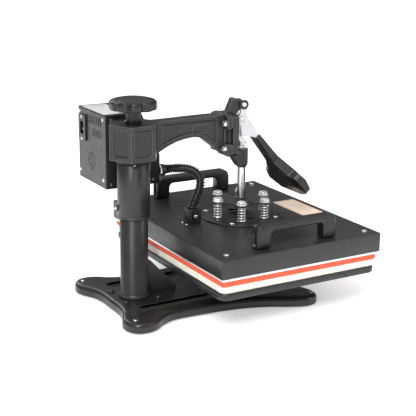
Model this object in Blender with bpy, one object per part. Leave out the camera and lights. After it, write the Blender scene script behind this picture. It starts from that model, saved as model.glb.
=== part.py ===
"""Swing-away heat press with a 380 x 300 mm platen: a functional model in metres, +Z up.

The origin is on the floor under the middle of the press. The operator stands at -Y,
the column is at +Y, and the press is closed, with its platen just above the pads.
"""
import math

import bmesh
import bpy
from mathutils import Matrix, Vector

# ---- driving dimensions -------------------------------------------------------------
MM = 0.001
GAP = 0.3 * MM                      # clearance left between touching pieces

PLATEN_Y = -60 * MM                 # centre of the platen and axis of the press shaft
COLUMN_Y = PLATEN_Y + 206 * MM      # axis of the column

FOOT_PROUD = 3 * MM                 # rubber below the base plate's rim
BASE_HEIGHT = 16 * MM
BASE_TOP = FOOT_PROUD + BASE_HEIGHT
BASE_WALL = 3 * MM
REAR_LOBE = (95 * MM, PLATEN_Y + 249 * MM, 23 * MM)      # x, y, radius
FRONT_LOBE = (125 * MM, PLATEN_Y - 52 * MM, 22 * MM)
REAR_EDGE_Y = PLATEN_Y + 263 * MM
FRONT_EDGE_Y = PLATEN_Y - 60 * MM
GROOVE_X = 62 * MM
GROOVE_Y = (PLATEN_Y + 98 * MM, PLATEN_Y + 219 * MM)
GROOVE_RADIUS = 11 * MM

COVER_SIZE = (390 * MM, 306 * MM)
PAD_SIZE = (380 * MM, 298 * MM)
LOWER_PLATE_TOP = 71.0 * MM
LOWER_PLATE_THICK = 12 * MM
FELT_THICK = 11.4 * MM
SILICONE_THICK = 9 * MM
HEATER_PLATE_THICK = 8 * MM
HEATER_PLATE_SHOWN = 4.6 * MM       # height of the plate's edge below the cover
COVER_HEIGHT = 31.7 * MM
COVER_WALL = 2 * MM
PAD_TOP = LOWER_PLATE_TOP + FELT_THICK + SILICONE_THICK + 2 * GAP
HEATER_BOTTOM = PAD_TOP + GAP
COVER_BOTTOM = HEATER_BOTTOM + HEATER_PLATE_SHOWN
COVER_TOP = COVER_BOTTOM + COVER_HEIGHT

COLUMN_RADIUS = 23.2 * MM
COLUMN_TOP = COVER_TOP + 95 * MM
COLUMN_WALL = 3 * MM
WELD_FLANGE = 4 * MM                # how far the column's foot stands out
SLEEVE_RADIUS = 27 * MM
SLEEVE_BOTTOM = COVER_TOP + 27 * MM
HEAD_BOTTOM = COVER_TOP + 119 * MM
HEAD_SHOULDER = COVER_TOP + 125 * MM
HEAD_TOP = COVER_TOP + 183 * MM
HEAD_CORNER_RADIUS = 42.6 * MM
HEAD_ROOF = 5 * MM                  # top wall of the head, which sits on the inner post
POST_RADIUS = 18.5 * MM
KNOB_RADIUS = 38.5 * MM
KNOB_BOTTOM = COVER_TOP + 205 * MM
KNOB_RIM_TOP = COVER_TOP + 219 * MM
KNOB_TOP = COVER_TOP + 225 * MM
KNOB_LOBES = 10
SCREW_RADIUS = 6 * MM
BORE_RADIUS = COLUMN_RADIUS + 0.4 * MM   # the sleeve's and the head's running bore

ARM_HALF = 12 * MM                  # half width of the arm
FLANGE_Y = (PLATEN_Y + 38.3 * MM, PLATEN_Y + 46 * MM)
BRACKET_Y = (PLATEN_Y + 24 * MM, PLATEN_Y + 38 * MM)
PLATE_HALF = 29 * MM
BRACKET_Z = (COVER_TOP + 115 * MM, COVER_TOP + 184 * MM)
BOSS_RADIUS = 10.6 * MM
BOSS_Z = (COVER_TOP + 87.5 * MM, COVER_TOP + 120 * MM)
SHAFT_RADIUS = 6.8 * MM

# toggle: fixed pivot, middle pivot and shaft pivot, as (y, z)
PIVOT_FIXED = (PLATEN_Y + 3 * MM, COVER_TOP + 197 * MM)
PIVOT_MIDDLE = (PLATEN_Y + 7 * MM, COVER_TOP + 172.5 * MM)
PIVOT_SHAFT = (PLATEN_Y, COVER_TOP + 128.5 * MM)
GRIP_START = (PLATEN_Y - 24 * MM, COVER_TOP + 141 * MM)
GRIP_END = (PLATEN_Y - 111 * MM, COVER_TOP + 38 * MM)
PALM_HALF = 50 * MM
TANG_HALF = 3 * MM
LINK_HALF = 6.3 * MM
FORK_HALF = 9.6 * MM
LUG_HALF = 6 * MM

DISC_RADIUS = 69.5 * MM
DISC_THICK = 3 * MM
DISC_SCREW_RADIUS = 62 * MM
BOLT_CIRCLE = 46 * MM
BOLT_ANGLES = [30 + 60 * k for k in range(6)]
SPIDER_Z = (COVER_TOP + 29 * MM, COVER_TOP + 32 * MM)
SPRING_RADIUS = 7.3 * MM

BOX_X = (40 * MM, 150 * MM)
BOX_Y = (COLUMN_Y - 69 * MM, COLUMN_Y + 30 * MM)
BOX_Z = (COVER_TOP + 66 * MM, COVER_TOP + 189 * MM)
BOX_WALL = 1.5 * MM
PANEL_RUN = (34 * MM, 74 * MM)      # the sloped panel's run in Y and rise in Z
HOSE_RADIUS = 8.4 * MM
HOSE_EXIT = (46 * MM, BOX_Y[0], COVER_TOP + 87 * MM)
BUTTONS = ("set", "down", "up")

# the hose's route from the control box's front to the gland on the cover
HOSE_ROUTE = [
    (46, 127.6, 87), (45.5, 120, 87.3), (42, 111, 88.2), (34, 101, 89), (25, 89, 88), (15.5, 79.5, 81.5),
    (9, 76.5, 70), (5.5, 80, 56), (4.2, 87.5, 41), (4, 93, 30), (4, 94, 22), (4, 94, 13),
]

ROUND = 32                          # sides of a round piece


# ---- tools --------------------------------------------------------------------------
def material(name, color, roughness=0.5, metallic=0.0):
    """A Principled material, made once for each name."""
    mat = bpy.data.materials.get(name)
    if mat is None:
        mat = bpy.data.materials.new(name)
        mat.use_nodes = True
        shader = mat.node_tree.nodes["Principled BSDF"]
        shader.inputs["Base Color"].default_value = (*color, 1.0)
        shader.inputs["Roughness"].default_value = roughness
        shader.inputs["Metallic"].default_value = metallic
    return mat


def black_paint():
    return material("black_paint", (0.03, 0.03, 0.032), 0.42)


def black_plastic():
    return material("black_plastic", (0.018, 0.018, 0.019), 0.38)


def chrome():
    return material("chrome", (0.85, 0.86, 0.87), 0.12, 1.0)


def steel():
    return material("steel", (0.55, 0.56, 0.57), 0.3, 1.0)


def make_object(name, bm, mat, location=(0, 0, 0), parent=None, smooth=True):
    """Turn a bmesh into a linked object with its normals outwards."""
    bmesh.ops.recalc_face_normals(bm, faces=bm.faces)
    mesh = bpy.data.meshes.new(name)
    bm.to_mesh(mesh)
    bm.free()
    if smooth:
        mesh.shade_smooth()
        mesh.set_sharp_from_angle(angle=math.radians(35))
    obj = bpy.data.objects.new(name, mesh)
    obj.data.materials.append(mat)
    obj.location = Vector(location)
    bpy.context.collection.objects.link(obj)
    if parent is not None:
        obj.parent = parent
        obj.matrix_parent_inverse = Matrix.Translation(-parent.location)
    return obj


def pivot(name, location, parent=None):
    """An empty on a joint's axis, which the joint's pieces are parented to."""
    empty = bpy.data.objects.new(name, None)
    empty.location = Vector(location)
    bpy.context.collection.objects.link(empty)
    if parent is not None:
        empty.parent = parent
        empty.matrix_parent_inverse = Matrix.Translation(-parent.location)
    return empty


def box_bmesh(low, high):
    bm = bmesh.new()
    bmesh.ops.create_cube(bm, size=1.0)
    size = [b - a for a, b in zip(low, high)]
    middle = [(a + b) / 2 for a, b in zip(low, high)]
    bmesh.ops.scale(bm, vec=size, verts=bm.verts)
    bmesh.ops.translate(bm, vec=middle, verts=bm.verts)
    return bm


def prism_bmesh(outline, low, high, axis="Z"):
    """Extrude a closed outline of (u, v) points from low to high along an axis."""
    place = {
        "X": lambda u, v, w: (w, u, v),
        "Y": lambda u, v, w: (u, w, v),
        "Z": lambda u, v, w: (u, v, w),
    }[axis]
    bm = bmesh.new()
    bottom = [bm.verts.new(place(u, v, low)) for u, v in outline]
    face = bm.faces.new(bottom)
    extruded = bmesh.ops.extrude_face_region(bm, geom=[face])
    moved = [item for item in extruded["geom"] if isinstance(item, bmesh.types.BMVert)]
    shift = Vector(place(0, 0, high - low))
    bmesh.ops.translate(bm, vec=shift, verts=moved)
    return bm


def lathe_bmesh(profile, steps=ROUND, centre=(0, 0, 0)):
    """Spin a closed profile of (radius, height) points around Z."""
    bm = bmesh.new()
    rings = []
    for step in range(steps):
        angle = 2 * math.pi * step / steps
        ring = [bm.verts.new((r * math.cos(angle), r * math.sin(angle), h)) for r, h in profile]
        rings.append(ring)
    count = len(profile)
    for step in range(steps):
        here, there = rings[step], rings[(step + 1) % steps]
        for k in range(count):
            n = (k + 1) % count
            corners = [here[k], there[k], there[n], here[n]]
            bm.faces.new(corners)
    bmesh.ops.remove_doubles(bm, verts=bm.verts, dist=1e-6)
    bmesh.ops.translate(bm, vec=centre, verts=bm.verts)
    return bm


def rod_bmesh(radius, low, high, steps=ROUND, axis="Z", centre=(0, 0, 0), chamfer=0.0):
    """A solid round rod with chamfered ends, whose ends are given along its axis."""
    profile = [(0, low), (radius - chamfer, low), (radius, low + chamfer),
               (radius, high - chamfer), (radius - chamfer, high), (0, high)]
    bm = lathe_bmesh(profile, steps)
    bmesh.ops.dissolve_degenerate(bm, dist=1e-7, edges=bm.edges)
    if axis == "X":
        for vert in bm.verts:
            vert.co = Vector((vert.co.z, vert.co.x, vert.co.y))
    if axis == "Y":
        for vert in bm.verts:
            vert.co = Vector((vert.co.x, vert.co.z, vert.co.y))
    bmesh.ops.translate(bm, vec=centre, verts=bm.verts)
    return bm


def arc(cx, cy, radius, start, end, steps):
    """Points along an arc, in degrees, both ends included."""
    points = []
    for k in range(steps + 1):
        angle = math.radians(start + (end - start) * k / steps)
        points.append((cx + radius * math.cos(angle), cy + radius * math.sin(angle)))
    return points


def rounded_rectangle(width, depth, radius, centre=(0, 0), steps=5):
    points = []
    for sx, sy, start in ((1, 1, 0), (-1, 1, 90), (-1, -1, 180), (1, -1, 270)):
        cx = centre[0] + sx * (width / 2 - radius)
        cy = centre[1] + sy * (depth / 2 - radius)
        points += arc(cx, cy, radius, start, start + 90, steps)
    return points


def cut(obj, bm, name):
    """Cut a closed bmesh out of an object with a Boolean modifier."""
    cutter = make_object(name, bm, obj.data.materials[0], smooth=False)
    cutter.hide_render = True
    cutter.display_type = "WIRE"
    modifier = obj.modifiers.new(name, "BOOLEAN")
    modifier.operation = "DIFFERENCE"
    modifier.solver = "EXACT"
    modifier.object = cutter


def join(obj, bm, name):
    """Fuse a closed bmesh onto an object with a Boolean union."""
    helper = make_object(name, bm, obj.data.materials[0], smooth=False)
    helper.hide_render = True
    helper.display_type = "WIRE"
    modifier = obj.modifiers.new(name, "BOOLEAN")
    modifier.operation = "UNION"
    modifier.solver = "EXACT"
    modifier.object = helper


def bevel(obj, width, segments=2, angle=40):
    modifier = obj.modifiers.new("bevel", "BEVEL")
    modifier.width = width
    modifier.segments = segments
    modifier.limit_method = "ANGLE"
    modifier.angle_limit = math.radians(angle)


# ---- base and lower platen ----------------------------------------------------------
def base_outline(inset=0.0):
    """Four round lobes joined by hollowed sides, seen from above, shrunk by an inset."""
    rx, ry, rr = REAR_LOBE
    fx, fy, fr = FRONT_LOBE
    right = []
    right += [(0, FRONT_EDGE_Y + inset), (fx - 34 * MM, FRONT_EDGE_Y + inset)]
    right += arc(fx, fy, fr - inset, -105, 45, 8)
    for share in (0.25, 0.5, 0.75):
        bow = math.sin(math.pi * share)
        x = fx + (rx - fx) * share + 14 * MM - bow * 40 * MM - inset
        y = fy + 30 * MM + (ry - fy - 60 * MM) * share
        right.append((x, y))
    right += arc(rx, ry, rr - inset, -35, 105, 8)
    right += [(rx - 34 * MM, REAR_EDGE_Y - inset), (0, REAR_EDGE_Y - inset)]
    left = [(-x, y) for x, y in reversed(right)][1:-1]
    return right + left


def make_base_plate():
    plate = make_object("base_plate", prism_bmesh(base_outline(), FOOT_PROUD, BASE_TOP), black_paint())
    bevel_edge(plate, BASE_TOP, 5 * MM)
    hollow = prism_bmesh(base_outline(BASE_WALL + 3 * MM), -1 * MM, BASE_TOP - BASE_WALL)
    cut(plate, hollow, "base_hollow")
    for side in (-1, 1):
        x = side * GROOVE_X
        outline = arc(x, GROOVE_Y[1], GROOVE_RADIUS, 0, 180, 6)
        outline += arc(x, GROOVE_Y[0], GROOVE_RADIUS, 180, 360, 6)
        groove = prism_bmesh(outline, BASE_TOP - 6 * MM, BASE_TOP + 1 * MM)
        cut(plate, groove, "groove_%s" % ("left" if side < 0 else "right"))


def bevel_edge(obj, height, width):
    """Round the edges of a plate that lie at one height."""
    bm = bmesh.new()
    bm.from_mesh(obj.data)
    edges = [e for e in bm.edges if all(abs(v.co.z - height) < 1e-6 for v in e.verts)]
    bmesh.ops.bevel(bm, geom=edges, offset=width, segments=3, profile=0.5, affect="EDGES")
    bm.to_mesh(obj.data)
    bm.free()


def make_feet():
    places = [(REAR_LOBE, 1, "rear_right"), (REAR_LOBE, -1, "rear_left"),
              (FRONT_LOBE, 1, "front_right"), (FRONT_LOBE, -1, "front_left")]
    rubber = material("rubber", (0.02, 0.02, 0.02), 0.8)
    top = BASE_TOP - BASE_WALL - GAP
    for (x, y, radius), side, name in places:
        bm = rod_bmesh(10 * MM, 0, top, 20, centre=(side * x, y, 0), chamfer=1 * MM)
        make_object("foot_" + name, bm, rubber)


def make_column():
    bottom = BASE_TOP + GAP
    profile = [
        (COLUMN_RADIUS - COLUMN_WALL, bottom), (COLUMN_RADIUS + WELD_FLANGE, bottom),
        (COLUMN_RADIUS + WELD_FLANGE, bottom + 3 * MM), (COLUMN_RADIUS + 1 * MM, bottom + 4 * MM),
        (COLUMN_RADIUS, bottom + 6 * MM), (COLUMN_RADIUS, COLUMN_TOP),
        (COLUMN_RADIUS - COLUMN_WALL, COLUMN_TOP),
    ]
    make_object("column_tube", lathe_bmesh(profile, 40, centre=(0, COLUMN_Y, 0)), black_paint())


def make_gusset():
    """The welded rib between the column's foot and the base, towards the platen."""
    y0 = COLUMN_Y - COLUMN_RADIUS - GAP
    foot = BASE_TOP + 7 * MM
    step = y0 - WELD_FLANGE - 1 * MM
    outline = [(y0, foot), (y0, foot + 52 * MM), (y0 - 5 * MM, foot + 50 * MM),
               (y0 - 53 * MM, BASE_TOP + 5 * MM), (y0 - 53 * MM, BASE_TOP + GAP), (step, BASE_TOP + GAP),
               (step, foot)]
    make_object("column_gusset", prism_bmesh(outline, -4 * MM, 4 * MM, "X"), black_paint())


def make_lower_stand():
    """The pedestal that carries the lower platen, a turned post with two flanges."""
    bottom = BASE_TOP + GAP
    top = LOWER_PLATE_TOP - LOWER_PLATE_THICK - GAP
    profile = [(0, bottom), (48 * MM, bottom), (48 * MM, bottom + 4 * MM), (30 * MM, bottom + 6 * MM),
               (30 * MM, top - 6 * MM), (60 * MM, top - 4 * MM), (60 * MM, top), (0, top)]
    make_object("lower_stand", lathe_bmesh(profile, 32, centre=(0, PLATEN_Y, 0)), black_paint())


def make_lower_platen():
    outline = rounded_rectangle(PAD_SIZE[0] + 2 * MM, PAD_SIZE[1] + 2 * MM, 15 * MM, (0, PLATEN_Y))
    plate = prism_bmesh(outline, LOWER_PLATE_TOP - LOWER_PLATE_THICK, LOWER_PLATE_TOP)
    bevel(make_object("lower_platen", plate, black_paint()), 3 * MM, 2, 60)
    felt = material("felt_pad", (0.86, 0.86, 0.76), 0.85)
    silicone = material("silicone_pad", (0.9, 0.13, 0.05), 0.6)
    low = LOWER_PLATE_TOP + GAP
    outline = rounded_rectangle(*PAD_SIZE, 12 * MM, (0, PLATEN_Y))
    make_object("felt_pad", prism_bmesh(outline, low, low + FELT_THICK), felt)
    low = low + FELT_THICK + GAP
    outline = rounded_rectangle(*PAD_SIZE, 4 * MM, (0, PLATEN_Y), 2)
    make_object("silicone_pad", prism_bmesh(outline, low, low + SILICONE_THICK), silicone)


# ---- riser, knob and screw ----------------------------------------------------------
def make_riser(riser):
    """The inner post slides up the column and carries the head on its top flange."""
    low = SLEEVE_BOTTOM - 60 * MM
    high = HEAD_TOP - HEAD_ROOF - GAP
    profile = [
        (POST_RADIUS - 3 * MM, low), (POST_RADIUS, low), (POST_RADIUS, high - 5 * MM),
        (POST_RADIUS + 3 * MM, high - 5 * MM), (POST_RADIUS + 3 * MM, high),
        (8.5 * MM, high), (8.5 * MM, high - 5 * MM), (POST_RADIUS - 3 * MM, high - 5 * MM),
    ]
    make_object("inner_post", lathe_bmesh(profile, 32, centre=(0, COLUMN_Y, 0)), steel(), parent=riser)


def make_screw_nut():
    """The bronze nut fixed across the column; the lead screw turns in it."""
    low = BASE_TOP + 40 * MM
    high = low + 16 * MM
    outer = COLUMN_RADIUS - COLUMN_WALL - GAP
    inner = SCREW_RADIUS + GAP
    profile = [(inner, low), (outer, low), (outer, high), (inner, high)]
    bronze = material("bronze", (0.55, 0.38, 0.18), 0.35, 1.0)
    make_object("screw_nut", lathe_bmesh(profile, 32, centre=(0, COLUMN_Y, 0)), bronze)


def make_knob(knob):
    outline = []
    for lobe in range(KNOB_LOBES):
        middle = 360 * (lobe + 0.5) / KNOB_LOBES
        for offset, depth in ((-18, 4.2), (-11, 3.2), (-8, 0.6), (0, 0), (8, 0.6), (11, 3.2)):
            angle = math.radians(middle + offset)
            radius = KNOB_RADIUS - depth * MM
            outline.append((radius * math.cos(angle), COLUMN_Y + radius * math.sin(angle)))
    body = make_object("pressure_knob", prism_bmesh(outline, KNOB_BOTTOM, KNOB_RIM_TOP),
                       black_plastic(), parent=knob)
    dome = [(0, KNOB_RIM_TOP - 2 * MM), (33 * MM, KNOB_RIM_TOP - 2 * MM), (33 * MM, KNOB_RIM_TOP + 0.6 * MM),
            (24 * MM, KNOB_TOP - 2 * MM), (12 * MM, KNOB_TOP), (0, KNOB_TOP)]
    join(body, lathe_bmesh(dome, 40, centre=(0, COLUMN_Y, 0)), "knob_dome")
    stem_low = HEAD_TOP + GAP
    stem = [(0, stem_low), (14 * MM, stem_low), (14 * MM, stem_low + 3 * MM), (12.3 * MM, stem_low + 4 * MM),
            (12.3 * MM, KNOB_BOTTOM + 1 * MM), (0, KNOB_BOTTOM + 1 * MM)]
    join(body, lathe_bmesh(stem, 32, centre=(0, COLUMN_Y, 0)), "knob_stem")
    axis = (0, COLUMN_Y, 0)
    bore = rod_bmesh(SCREW_RADIUS + GAP, HEAD_TOP - 1 * MM, KNOB_BOTTOM + 8 * MM, 20, centre=axis)
    cut(body, bore, "knob_bore")
    screw = rod_bmesh(SCREW_RADIUS, BASE_TOP + 15 * MM, KNOB_BOTTOM + 7.5 * MM, 20, centre=axis,
                      chamfer=0.5 * MM)
    make_object("lead_screw", screw, steel(), parent=knob)


# ---- swinging head ------------------------------------------------------------------
def make_sleeve(head):
    profile = [
        (BORE_RADIUS, SLEEVE_BOTTOM), (SLEEVE_RADIUS - 0.8 * MM, SLEEVE_BOTTOM),
        (SLEEVE_RADIUS, SLEEVE_BOTTOM + 0.8 * MM), (SLEEVE_RADIUS, HEAD_BOTTOM - GAP),
        (BORE_RADIUS, HEAD_BOTTOM - GAP),
    ]
    make_object("swing_sleeve", lathe_bmesh(profile, 40, centre=(0, COLUMN_Y, 0)), black_paint(), parent=head)
    out = SLEEVE_RADIUS + GAP
    screw = rod_bmesh(4 * MM, 0, 7 * MM, 16, "X", chamfer=0.8 * MM)
    turn = Matrix.Rotation(math.radians(72), 4, "Z")
    bmesh.ops.translate(screw, vec=(out, 0, 0), verts=screw.verts)
    bmesh.ops.transform(screw, matrix=turn, verts=screw.verts)
    bmesh.ops.translate(screw, vec=(0, COLUMN_Y, SLEEVE_BOTTOM + 16 * MM), verts=screw.verts)
    make_object("lock_screw", screw, steel(), parent=head)


def hexagon(radius, cx=0.0, cy=0.0):
    return [(cx + radius * math.cos(math.radians(30 + 60 * k)),
             cy + radius * math.sin(math.radians(30 + 60 * k))) for k in range(6)]


def make_head_arm(head):
    """One casting: hexagonal head block, arched arm and the flange that carries the toggle."""
    block = prism_bmesh(hexagon(HEAD_CORNER_RADIUS, 0, COLUMN_Y), HEAD_SHOULDER, HEAD_TOP)
    obj = make_object("head_arm", block, black_paint(), parent=head)
    collar = lathe_bmesh([(0, HEAD_BOTTOM), (SLEEVE_RADIUS, HEAD_BOTTOM),
                          (HEAD_CORNER_RADIUS * 0.86, HEAD_SHOULDER + 1 * MM), (0, HEAD_SHOULDER + 1 * MM)],
                         40, centre=(0, COLUMN_Y, 0))
    join(obj, collar, "head_collar")
    y0 = PLATEN_Y
    z0 = COVER_TOP
    top = z0 + 184 * MM
    arch = [(187, 118), (165, 132.5), (150, 140), (135, 145.8), (120, 149.2), (104, 151), (92, 149.8),
            (80, 145.5), (68, 136), (56, 127), (45.5, 120)]
    outline = [(y0 + y * MM, z0 + z * MM) for y, z in arch]
    outline += [(FLANGE_Y[0] + 1 * MM, z0 + 118 * MM), (FLANGE_Y[0] + 1 * MM, top - 1 * MM),
                (y0 + 66 * MM, top), (y0 + 187 * MM, top - 1.5 * MM)]
    join(obj, prism_bmesh(outline, -ARM_HALF, ARM_HALF, "X"), "arm_web")
    plate = [(-PLATE_HALF, BRACKET_Z[0] + 3 * MM), (PLATE_HALF, BRACKET_Z[0] + 3 * MM),
             (PLATE_HALF, BRACKET_Z[1] - 2 * MM), (18 * MM, BRACKET_Z[1] + 2 * MM),
             (-18 * MM, BRACKET_Z[1] + 2 * MM), (-PLATE_HALF, BRACKET_Z[1] - 2 * MM)]
    join(obj, prism_bmesh(plate, *FLANGE_Y, "Y"), "arm_flange")
    for side in (-1, 1):
        x0, x1 = sorted((side * (ARM_HALF + 5 * MM), side * (PLATE_HALF + 1 * MM)))
        notch = box_bmesh((x0, FLANGE_Y[0] - 1 * MM, z0 + 136 * MM),
                          (x1, FLANGE_Y[1] + 1 * MM, z0 + 162 * MM))
        cut(obj, notch, "flange_notch_%d" % (side > 0))
        x0, x1 = sorted((side * (ARM_HALF - 3 * MM), side * (ARM_HALF + 1 * MM)))
        pocket = [(y0 + y * MM, z0 + z * MM) for y, z in
                  ((158, 144), (138, 152), (120, 156.5), (104, 158), (90, 156.5), (76, 150), (66, 142),
                   (58, 137), (58, 177), (158, 177))]
        cut(obj, prism_bmesh(pocket, x0, x1, "X"), "arm_pocket_%d" % (side > 0))
    make_head_panels(obj)
    inradius = HEAD_CORNER_RADIUS * math.cos(math.radians(30))
    pad = box_bmesh((inradius - 8 * MM, COLUMN_Y - 12 * MM, z0 + 132 * MM),
                    (BOX_X[0] - GAP, COLUMN_Y + 12 * MM, z0 + 174 * MM))
    join(obj, pad, "box_pad")
    axis = (0, COLUMN_Y, 0)
    bore = rod_bmesh(BORE_RADIUS, HEAD_BOTTOM - 1 * MM, HEAD_TOP - HEAD_ROOF, 40, centre=axis)
    cut(obj, bore, "head_bore")
    hole = rod_bmesh(SCREW_RADIUS + 2 * MM, HEAD_TOP - 8 * MM, HEAD_TOP + 1 * MM, 24, centre=axis)
    cut(obj, hole, "head_hole")


def make_head_panels(obj):
    """Shallow rounded pockets in the hexagon's three free faces."""
    inradius = HEAD_CORNER_RADIUS * math.cos(math.radians(30))
    for angle in (60, 120, 180):
        outline = rounded_rectangle(30 * MM, 44 * MM, 5 * MM, (0, (HEAD_SHOULDER + HEAD_TOP) / 2), 3)
        bm = prism_bmesh(outline, inradius - 2 * MM, inradius + 2 * MM, "X")
        turn = Matrix.Translation((0, COLUMN_Y, 0)) @ Matrix.Rotation(math.radians(angle), 4, "Z")
        bmesh.ops.transform(bm, matrix=turn, verts=bm.verts)
        cut(obj, bm, "head_panel_%d" % angle)


def make_toggle_bracket(head):
    """The casting bolted to the arm: plate, the leaning lug inside the fork and the shaft's guide boss."""
    y0 = PLATEN_Y
    z0 = COVER_TOP
    plate = [(-PLATE_HALF, BRACKET_Z[0] + 4 * MM), (-16 * MM, BRACKET_Z[0] - 3 * MM),
             (16 * MM, BRACKET_Z[0] - 3 * MM), (PLATE_HALF, BRACKET_Z[0] + 4 * MM),
             (PLATE_HALF, BRACKET_Z[1] - 3 * MM), (18 * MM, BRACKET_Z[1] + 1 * MM),
             (-18 * MM, BRACKET_Z[1] + 1 * MM), (-PLATE_HALF, BRACKET_Z[1] - 3 * MM)]
    obj = make_object("toggle_bracket", prism_bmesh(plate, *BRACKET_Y, "Y"), black_paint(), parent=head)
    fy, fz = PIVOT_FIXED
    lug = [(y0 + 37 * MM, z0 + 180 * MM), (y0 + 24 * MM, z0 + 208.5 * MM), (y0 + 20 * MM, z0 + 209.5 * MM)]
    lug += arc(fy, fz, 6.8 * MM, 75, 270, 9)
    lug += [(y0 + 11 * MM, z0 + 187 * MM), (y0 + 18 * MM, z0 + 180 * MM), (y0 + 25 * MM, z0 + 170 * MM),
            (y0 + 36 * MM, z0 + 170 * MM)]
    join(obj, prism_bmesh(lug, -LUG_HALF, LUG_HALF, "X"), "bracket_lug")
    web = [(y0 + 26 * MM, z0 + 114 * MM), (y0 + 9 * MM, z0 + 90 * MM), (y0, z0 + 90 * MM),
           (y0, z0 + 118 * MM), (y0 + 16 * MM, z0 + 118 * MM), (y0 + 26 * MM, z0 + 128 * MM)]
    join(obj, prism_bmesh(web, -BOSS_RADIUS * 0.9, BOSS_RADIUS * 0.9, "X"), "bracket_web")
    boss = lathe_bmesh([(0, BOSS_Z[0]), (BOSS_RADIUS - 3 * MM, BOSS_Z[0]), (BOSS_RADIUS, BOSS_Z[0] + 6 * MM),
                        (BOSS_RADIUS, BOSS_Z[1]), (0, BOSS_Z[1])], 32, centre=(0, y0, 0))
    join(obj, boss, "bracket_boss")
    bore = rod_bmesh(SHAFT_RADIUS + 0.25 * MM, BOSS_Z[0] - 2 * MM, BOSS_Z[1] + 2 * MM, 32, centre=(0, y0, 0))
    cut(obj, bore, "guide_bore")
    hole = rod_bmesh(4.3 * MM, -LUG_HALF - 2 * MM, LUG_HALF + 2 * MM, 20, "X", (0, fy, fz))
    cut(obj, hole, "pivot_hole")
    for side in (-1, 1):
        x0, x1 = sorted((side * (ARM_HALF + 7 * MM), side * (PLATE_HALF + 1 * MM)))
        notch = box_bmesh((x0, BRACKET_Y[1] - 3 * MM, z0 + 134 * MM),
                          (x1, BRACKET_Y[1] + 1 * MM, z0 + 164 * MM))
        cut(obj, notch, "bracket_notch_%d" % (side > 0))
    pin = rod_bmesh(4 * MM, -FORK_HALF - 1.5 * MM, FORK_HALF + 1.5 * MM, 20, "X", (0, fy, fz), 0.5 * MM)
    make_object("pivot_pin", pin, chrome(), parent=head)


def make_control_box(head):
    """Folded sheet box: a front-open shell, its back plate and the sloped front panel."""
    x0, x1 = BOX_X
    y0, y1 = BOX_Y
    z0, z1 = BOX_Z
    slope, rise = PANEL_RUN
    side = [(y0, z0), (y1, z0), (y1, z1), (y0 + slope, z1), (y0, z1 - rise)]
    shell = make_object("box_shell", prism_bmesh(side, x0, x1, "X"), black_paint(), parent=head)
    w = BOX_WALL
    inside = [(y0 + w, z0 + w), (y1 + 3 * MM, z0 + w), (y1 + 3 * MM, z1 - w), (y0 + slope - 8 * MM, z1 - w),
              (y0 - 8 * MM, z1 - rise + 0.5 * MM), (y0 + w, z1 - rise - 2.5 * MM)]
    cut(shell, prism_bmesh(inside, x0 + w, x1 - w, "X"), "box_inside")
    hole_centre = (HOSE_EXIT[0] + 2 * MM, 0, HOSE_EXIT[2])
    cut(shell, rod_bmesh(5.3 * MM, y0 - 3 * MM, y0 + 5 * MM, 24, "Y", hole_centre), "hose_hole")
    zs = z0 + 30 * MM
    switch_hole = box_bmesh((x1 - 4 * MM, y0 + 40 * MM, zs), (x1 + 2 * MM, y0 + 60 * MM, zs + 28 * MM))
    cut(shell, switch_hole, "switch_hole")
    back = box_bmesh((x0 + w + GAP, y1 - w, z0 + w + GAP), (x1 - w - GAP, y1, z1 - w - GAP))
    back_obj = make_object("box_back", back, black_paint(), parent=head)
    inlet_hole = box_bmesh((x1 - 31 * MM, y1 - 5 * MM, z1 - 49 * MM),
                           (x1 - 9 * MM, y1 + 2 * MM, z1 - 19 * MM))
    cut(back_obj, inlet_hole, "inlet_hole")
    make_inlet(head)
    make_front_panel(head)
    make_box_inside(head)
    make_power_switch(head)


def make_inlet(head):
    x1, y1, z1 = BOX_X[1], BOX_Y[1], BOX_Z[1]
    flange = box_bmesh((x1 - 34 * MM, y1 + GAP, z1 - 56 * MM), (x1 - 6 * MM, y1 + 3 * MM, z1 - 12 * MM))
    obj = make_object("power_inlet", flange, black_plastic(), parent=head)
    body = box_bmesh((x1 - 30 * MM, y1 - 18 * MM, z1 - 48 * MM), (x1 - 10 * MM, y1 + 1 * MM, z1 - 20 * MM))
    join(obj, body, "inlet_body")
    socket = box_bmesh((x1 - 27 * MM, y1 - 13 * MM, z1 - 45 * MM), (x1 - 13 * MM, y1 + 5 * MM, z1 - 23 * MM))
    cut(obj, socket, "inlet_socket")


def front_frame(u, v, w=0.0):
    """A point on the sloped panel: u along X, v up the slope, w outwards from it."""
    y0 = BOX_Y[0]
    slope, rise = PANEL_RUN
    z_low = BOX_Z[1] - rise
    length = math.hypot(slope, rise)
    along = (slope / length, rise / length)
    out = (-along[1], along[0])
    return (u, y0 + along[0] * v + out[0] * w, z_low + along[1] * v + out[1] * w)


def panel_box(u0, u1, v0, v1, w0, w1):
    """A box standing on the sloped panel."""
    bm = bmesh.new()
    for u in (u0, u1):
        for v in (v0, v1):
            for w in (w0, w1):
                bm.verts.new(front_frame(u, v, w))
    bmesh.ops.convex_hull(bm, input=bm.verts)
    bmesh.ops.dissolve_limit(bm, angle_limit=math.radians(1), verts=bm.verts, edges=bm.edges)
    return bm


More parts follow.
